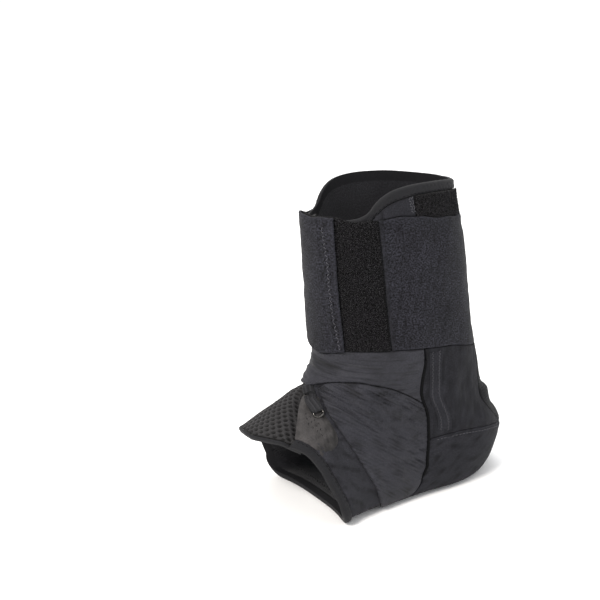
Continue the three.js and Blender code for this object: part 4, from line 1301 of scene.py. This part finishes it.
def makeAchilles():
    size = achillesSizes
    outer = evenly(seamLine("achillesEdge"))
    inner = np.stack([1 - outer[:, 0], outer[:, 1]], -1)
    top = spanLine(cuffFootEdge, outer[0, 0], inner[0, 0])
    inset = (0.1, 0.2, 0.15, 0.15)
    grid = layGrid(top, throughBack(heelBack), outer, inner, cell=size["cell"], inset=inset, edge=0.7)
    u, v = grid["u"], grid["v"]
    across = 1 - np.clip(np.abs(u - 0.5) / (0.5 - np.interp(v, outer[:, 1], outer[:, 0])), 0, 1) ** 6
    swell = size["swell"] * smoothStep(*size["swellAlong"], v)
    swell = swell - size["thin"] * smoothStep(*size["thinAlong"], v)
    # elastic cords lie across it, one beside the other
    cords = size["cord"] * (np.abs(np.sin(np.pi * grid["fromA"] / size["cordPitch"])) - 0.5)
    makeCloth(
        "achillesPanel", grid, layer["strap"], layer["quarter"] + across * swell, cords,
        ("ribbedElastic",), "ribbed_elastic", ("achilles_panel",),
    )


patchSizes = {
    "cell": 0.5, "edge": 2.6, "low": 2.0, "high": 2.75, "uneven": (0.15, 7, 9), "welt": 0.5,
    "weltAt": 3, "weltWide": 2.4, "blotch": (0.2, 4, 4), "fadeFoot": (0.6, 11, 1.5),
    "fadeFront": (0.25, 3, 0),
}


def makeLacePatch(where, side):
    size = patchSizes
    line = throatOuter if where == "outer" else throatInner
    edge = side(seamLine("eyestayEdge"))
    throat = throatPart(line, edge[0, 1], meet(line, toeInner) - 0.002)
    foot = spanLine(lambda u: toeInner(u) - 0.002, throat[-1, 0], edge[-1, 0])
    edge, throat = np.vstack([edge[:-1], foot[-1:]]), np.vstack([throat[:-1], foot[:1]])
    top = np.linspace(throat[0], edge[0], 30)
    grid = layGrid(throat, edge, top, foot, cell=size["cell"], edge=size["edge"])
    x, _, z = np.moveaxis(grid["point"], -1, 0)
    welt = size["welt"] * bell(grid["fromA"] - size["weltAt"], size["weltWide"])
    foot, front = (
        size[name][0] * smoothStep(*size[name][1:], grid[side])
        for name, side in (("fadeFoot", "fromB"), ("fadeFront", "fromA"))
    )
    makeCloth(
        "lacePatch_" + where, grid, size["low"], size["high"], waves(x, z, size["uneven"], 57) + welt,
        ("smoothKnit",), "smooth_cloth", ("eyestay_" + where,),
        lowest=0.1, grimeAndShade=0, dark=foot + front + waves(x, z, size["blotch"], 58),
    )


tapeSizes = {"cell": 0.45, "low": 3.9, "high": 4.7, "uneven": (0.06, 5, 6)}


def makeSideTape(where, side):
    size = tapeSizes
    front, back = (side(seamLine(name)) for name in ("sideTapeFront", "sideTapeBack"))
    grid = layGrid(front, back, cell=size["cell"], inset=(0, 0, 0, 0), edge=0.5)
    relief = waves(grid["fromStart"], grid["fromA"], size["uneven"], 58)
    makeCloth(
        "sideTape_" + where, grid, size["low"], size["high"], relief,
        ("stretchKnit",), "webbing", ("side_tape_" + where,), grimeAndShade=0.2,
    )


makeStirrup()
makeBand()
makeHeelCup()
makeAchilles()
for where, side in bothSides:
    makeQuarter(where, side)
    makeLacePatch(where, side)
    makeSideTape(where, side)
print("stage: straps and panels made")


# The wide cuff, its pile and hooks

pileSizes = {
    "from": -0.06, "to": 0.169, "shownFrom": 0.066, "shownTo": 0.166, "high": 3.35, "loopsHigh": 3.25,
    "cell": 0.5, "clump": (0.28, 3.1, 3.1), "tuft": (0.2, 1.3, 1.3), "flatUnderCuff": (0.055, 0.075),
    "density": 1.7e6,
}
hookSizes = {
    "from": -0.035, "to": 0.064, "margin": 0.014, "cell": 1.2, "low": 3.9, "high": 4.6, "hooks": (0.12, 2.2),
}
cuffSizes = {  # low and high before it climbs over the hook pad and on it; shares of u; waves and seams
    "from": 0.17, "to": 1.075, "cell": 0.8, "low": (layer["strap"], 4.9), "high": (4.2, 6.2),
    "climb": (0.86, 0.935), "pull": (0.1, 34, 7), "sag": (0.14, 16, 18), "seam": (-0.35, 7.5, 0.8),
    "lip": (0.15, 12, 8), "shade": (0.3, 6, 6), "startEdgeShade": (0.5, 2.4),
}
collarSizes = {  # start and end over u, top, unevenness and looks
    "collarPanel_": (0.178, 0.25, 3.0, (0.08, 2.2, 2.2), "stretchKnit", "padded_cloth", "collar_panel_"),
    "collarPile_": (0.25, 0.425, 3.4, (0.2, 2.2, 2.2), "loopPile", "loop_pile", "collar_pile_"),
}


def cuffLines(start, end, margin=0.0, steps=200):
    # the cuff's upper and lower edge over a stretch of u
    return (
        spanLine(lambda u: cuffTopEdge(u) + margin, start, end, steps),
        spanLine(lambda u: cuffFootEdge(u) - margin, start, end, steps),
    )


def throwLoops(name, grid, height, density, seed, slot):
    points = lifted(grid["u"], grid["v"], height)
    faces = gridFaces(np.arange(grid["u"].size).reshape(grid["u"].shape))
    normal = np.cross(points[1, 0] - points[0, 0], points[0, 1] - points[0, 0])
    if normal @ grid["normal"][0, 0] < 0:
        faces = [face[::-1] for face in faces]
    piece = newPiece(name, newMesh(name, points.reshape(-1, 3), faces))
    spreadNodes(piece, trees["tufts"], {
        "Tuft": patterns["tuft"], "Density": density, "Seed": seed, "Material": finish["pileYarn"],
    })
    finishPiece(piece, slot)


def makePile():
    size = pileSizes
    grid = layGrid(*cuffLines(size["from"], size["to"]), cell=size["cell"], edge=0.9)
    x, y = grid["fromStart"], grid["fromA"]
    high, lengthX, lengthY = size["tuft"]
    clumps = waves(x, y, size["clump"], 61) + high * ripple(x / lengthX, y / lengthY, 62, 1)
    shown = smoothStep(*size["flatUnderCuff"], grid["u"])
    makeCloth(
        "cuffPile", grid, layer["strap"], size["high"], clumps * shown,
        ("loopPile",), "loop_pile", ("cuff_pile",),
    )
    # loops of yarn stand on the part that shows
    face = layGrid(*cuffLines(size["shownFrom"], size["shownTo"]), cell=1.5, edge=0.3)
    throwLoops("cuffPileLoops", face, size["loopsHigh"], size["density"], 11, "loop_pile")


def makeCuff():
    size = cuffSizes
    lines = cuffLines(size["from"], size["to"], steps=400)
    grid = layGrid(*lines, cell=size["cell"], inset=(0.2, 0.2, 0.1, 0.1), edge=0.8)
    climb = smoothStep(*size["climb"], grid["u"])
    low, high = (first + (last - first) * climb for first, last in (size["low"], size["high"]))
    x, y, toEnd = grid["fromStart"], grid["fromA"], grid["fromEnd"]
    pulled = waves(x, y, size["pull"], 63) + waves(x, y, size["sag"], 64)
    (groove, at, wide), (lip, *lipAlong) = size["seam"], size["lip"]
    seamed = groove * bell(toEnd - at, wide) + lip * smoothStep(*lipAlong, toEnd)
    # the cuff is painted darker along its starting edge next to the pile: painted shade, with random waves of
    # tone
    dark, reach = size["startEdgeShade"]
    shaded = waves(x, y, size["shade"], 87) + dark * bell(x, reach)
    makeCloth(
        "cuffStrap", grid, low, high, pulled + seamed, ("wideElastic",), "wide_elastic", ("cuff_strap",),
        grimeAndShade=0, dark=shaded,
    )


def makeHookPad():
    size = hookSizes
    lines = cuffLines(size["from"], size["to"], size["margin"])
    grid = layGrid(*lines, cell=size["cell"], inset=(0, 0, 0, 0), edge=0.4)
    tall, pace = size["hooks"]
    hooks = tall * np.sin(grid["fromStart"] * pace) * np.sin(grid["fromA"] * pace)
    low, high = size["low"], size["high"]
    makeCloth("hookPad", grid, low, high, hooks, ("hookTape",), "hook_pad", ("cuff_hook_pad",))


def makeCollarPieces(where, side):
    for name, (start, end, top, wave, thread, slot, node) in collarSizes.items():
        a, b = (side(spanLine(edge, start, end)) for edge in (collarInner, cuffTopEdge))
        grid = layGrid(a, b, cell=0.6, inset=(0.15, 0.1, 0.1, 0.1), edge=0.7)
        relief = waves(grid["fromStart"], grid["fromA"], wave, 65)
        makeCloth(name + where, grid, layer["strap"], top, relief, (thread,), slot, (node + where,))
        if thread == "loopPile":
            throwLoops("collarLoops_" + where, grid, top - 0.15, 1.6e6, 12, slot)


makePile()
makeHookPad()
makeCuff()
for where, side in bothSides:
    makeCollarPieces(where, side)
print("stage: cuff made")


# Lace tapes and their rings

laceSizes = {
    "ringGap": 0.3, "press": 0.95, "turn": (-80, 90),
    "width": 7, "thick": 0.9, "cordAt": 1.3, "cordHigh": 0.32, "cordWide": 0.55, "turnGap": 0.12, "flap": 7.6,
    "wire": 0.62, "ringRadius": 2.3, "ringHalf": 3.0, "ringTilt": 0.2, "eye": 3.4,
    "along": [0.64, 0.665, 0.7, 0.724, 0.81], "height": [1.3, 1.9, 2.9, 3.1, 3.1],
    "innerTurn": 0.05, "innerDrop": 0.6,
}


def makeLace(where, side):
    size = laceSizes
    route = side(seamLine("laceRoute", 90))
    height = np.interp(route[:, 1], size["along"], size["height"])
    if where == "inner":  # it lies flatter and further round, out of sight from the outer side
        route, height = route - [size["innerTurn"], 0], height - size["innerDrop"]
    line = lifted(route[:, 0], route[:, 1], height)
    up = formNormal(route[:, 0], route[:, 1])
    ahead = unit(np.gradient(line, axis=0))
    lift, way = up[-1], ahead[-1]
    way = unit(way - lift * (way @ lift))
    bar = line[-1] + lift * (size["thick"] / 2 + size["ringGap"] + size["wire"]) - way * size["eye"] / 2
    # the tape goes round the ring's wire and comes back over itself
    radius = size["wire"] + size["thick"] / 2 + size["turnGap"]
    before = (line - bar) @ way < 0.2
    angles = np.radians(np.linspace(*size["turn"], 14))[:, None]
    turned = way * np.cos(angles) + lift * np.sin(angles)
    back = np.arange(1, 9)[:, None] / 8
    flap = bar + lift * (radius - size["press"] * smoothStep(0, 1, back)) - way * back * size["flap"]
    path = np.vstack([(line + up * size["thick"] / 2)[before], bar + turned * radius, flap])
    lifts = np.vstack([up[before], turned, np.broadcast_to(lift, flap.shape)])
    makeTape("laceTape_" + where, path, lifts, "lace_tape_" + where)
    makeRing("laceRing_" + where, bar + way * size["ringRadius"], way, lift, "lace_ring_" + where)


def makeTape(name, path, lifts, node):
    size = laceSizes
    even = np.linspace(0, 1, 130)
    path, lifts = resample(path, even), unit(resample(lifts, even))
    ahead = unit(np.gradient(path, axis=0))
    across = unit(np.cross(ahead, lifts))
    lifts = unit(np.cross(across, ahead))
    # section of the tape: rounded selvedges and two raised cords
    half, thick, cord = size["width"] / 2, size["thick"], size["cordAt"]
    x = np.concatenate([[-1, -0.985], np.linspace(-0.94, 0.94, 25), [0.985, 1]])
    edge = thick / 2 * np.sqrt(np.maximum(0, 1 - np.clip((np.abs(x) - 0.86) / 0.14, 0, 1) ** 2))
    cords = sum(bell(x * half - at, size["cordWide"]) for at in (-cord, cord))
    top = edge + size["cordHigh"] * cords
    section = np.vstack([np.stack([x * half, top], -1), np.stack([x * half, -edge], -1)[::-1][1:-1]])
    points = path[:, None] + across[:, None] * section[None, :, :1] + lifts[:, None] * section[None, :, 1:]
    n, m = points.shape[:2]
    mesh = newMesh(name, points.reshape(-1, 3), tubeFaces(n, m))
    run = np.concatenate([[0], np.cumsum(np.linalg.norm(np.diff(path, axis=0), axis=1))])
    keepCloth(mesh, np.stack(np.broadcast_arrays(run[:, None], section[None, :, 0]), -1).reshape(-1, 2))
    # the two raised cords are painted lighter: a painted highlight, carried with the edge wear
    wearAndHighlight = bell(np.abs(section[:, 0]) - cord, 0.5)
    keepValues(mesh, "edgeWearAndHighlight", np.broadcast_to(wearAndHighlight, (n, m)).ravel())
    closeMesh(mesh, "wovenTape")
    finishPiece(newPiece(name, mesh), "webbing", node)


def closeMesh(mesh, cloth):
    mesh.materials.append(finish[cloth])
    mesh.shade_smooth()
    work = bmesh.new()
    work.from_mesh(mesh)
    bmesh.ops.recalc_face_normals(work, faces=work.faces)
    work.to_mesh(mesh)
    work.free()


def makeRing(name, centre, way, lift, node):
    # a D-shaped wire ring: straight where the tape holds it, round at its free side
    size = laceSizes
    side = np.cross(lift, way)
    turns = np.linspace(0, 2 * np.pi, 73)[:-1]
    forward = size["ringRadius"] * np.maximum(np.cos(turns), -0.999)[:, None]
    path = centre + forward * way + size["ringHalf"] * np.sin(turns)[:, None] * side
    path = path - size["ringTilt"] * (size["ringRadius"] + forward) * lift  # its free side lies on the cloth
    ahead = unit(np.roll(path, -1, 0) - np.roll(path, 1, 0))
    out = unit(np.cross(ahead, np.broadcast_to(lift, ahead.shape)))
    up = np.cross(out, ahead)
    angles = np.linspace(0, 2 * np.pi, 17)[:-1][None, :, None]
    points = path[:, None] + size["wire"] * (np.cos(angles) * out[:, None] + np.sin(angles) * up[:, None])
    mesh = newMesh(name, points.reshape(-1, 3), tubeFaces(*points.shape[:2], closed=True))
    closeMesh(mesh, "blackNickel")
    finishPiece(newPiece(name, mesh), "nickel", node)


for where, side in bothSides:
    makeLace(where, side)
print("stage: lace tapes and rings made")


# Stitches and piping

# Where rows of stitches lie: shares across the side tape, and places and distances on the form
rowPlaces = {
    "tapeShares": (0.2, 0.72), "overHeelSeam": 0.009, "eyestayFirst": (0.062, 0.842),
    "eyestayReach": (0.02, 0.026), "eyestayApart": 0.011, "eyestayCount": 4, "holesAside": 1.15,
    "onToe": 1.0, "onCollar": -1.1,
    "collarSpan": (0.16, 0.84), "patch": (0.238, 0.244), "patchHalf": 0.018, "patchLean": 0.004,
}
pipingSizes = {"radius": 0.95, "height": 3.55, "smooth": 17}


def beside(points, distance):
    # the same line moved sideways on the form by a distance in millimetres
    p = np.asarray(points, float)
    way = np.gradient(p, axis=0)
    d = 1e-3
    du, dv = (
        np.linalg.norm(formPoint(*(p + step).T) - formPoint(*(p - step).T), axis=-1) / (2 * d)
        for step in ([d, 0], [0, d])
    )
    flat = unit(np.stack([way[:, 0] * du, way[:, 1] * dv], -1))
    return p + np.stack([-flat[:, 1] * distance / du, flat[:, 0] * distance / dv], -1)


def sewTab():
    # a zigzag holds the cuff's end, between two rows of needle holes drawn as dark marks: painted shade in
    # the holes
    row, aside = seamLine("tabRow", 100), rowPlaces["holesAside"]
    sewStitches("tabStitches", [row])
    sewStitches("tabHoles", [beside(row, aside), beside(row[6:], -aside)])


def sewSide(where, side):
    place = rowPlaces
    front, back = seamLine("sideTapeFront"), seamLine("sideTapeBack")
    columns = [side(front * (1 - share) + back * share) for share in place["tapeShares"]]
    sewStitches("sideTapeStitches", columns, "_" + where)
    row = side(np.vstack([heelSide[8:], heelBack[1:]])) + [0, place["overHeelSeam"]]
    sewStitches("heelSeamStitches", [row], "_" + where)
    u, v = place["eyestayFirst"]
    starts = [np.array([u + place["eyestayApart"] * k, v]) for k in range(place["eyestayCount"])]
    block = [side(np.linspace(start, start + place["eyestayReach"], 40)) for start in starts]
    sewStitches("eyestayStitches", block, "_" + where)


def sewBindings():
    place = rowPlaces
    toe = spanLine(lapped(toeInner, place["onToe"]), toeEnds[0] + 0.01, toeEnds[1] - 0.01, 400)
    sewStitches("toeBindingStitches", [toe[onSole(toe[:, 0], toe[:, 1]) < 0.02]])
    flap = spanLine(lapped(collarInner, place["onCollar"]), *place["collarSpan"], 400)
    sewStitches("collarStitches", [flap])
    half, lean = place["patchHalf"], place["patchLean"]
    patch = [np.linspace((u, -half), (u + lean, half), 40) for u in place["patch"]]
    sewStitches("collarPatchStitches", [*patch, *map(onInnerSide, patch)])


def makePiping():
    size = pipingSizes
    seam = evenly(np.vstack([rearTop[4:], rearMiddle[1:], rearFoot[1:]]))
    window = np.ones(size["smooth"]) / size["smooth"]
    lines = []
    for _, side in bothSides:
        line = np.stack([np.convolve(row, window, "valid") for row in side(seam).T], -1)
        lines.append((line[onSole(line[:, 0], line[:, 1]) < 0.5], size["height"]))
    piece = seamObject("rearPiping", lines)
    spreadNodes(piece, trees["piping"], {"Radius": size["radius"] * mm, "Material": finish["blackPiping"]})
    finishPiece(piece, "binding")


sewTab()
for where, side in bothSides:
    sewSide(where, side)
sewBindings()
makePiping()
print("stage: stitches and piping made")

triangles = 0
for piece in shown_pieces():
    if piece.type == "MESH":
        count = sum(len(polygon.vertices) - 2 for polygon in piece.data.polygons)
        triangles += count
        print("piece", piece.name, count)
print("stage: all pieces made,", triangles, "triangles")
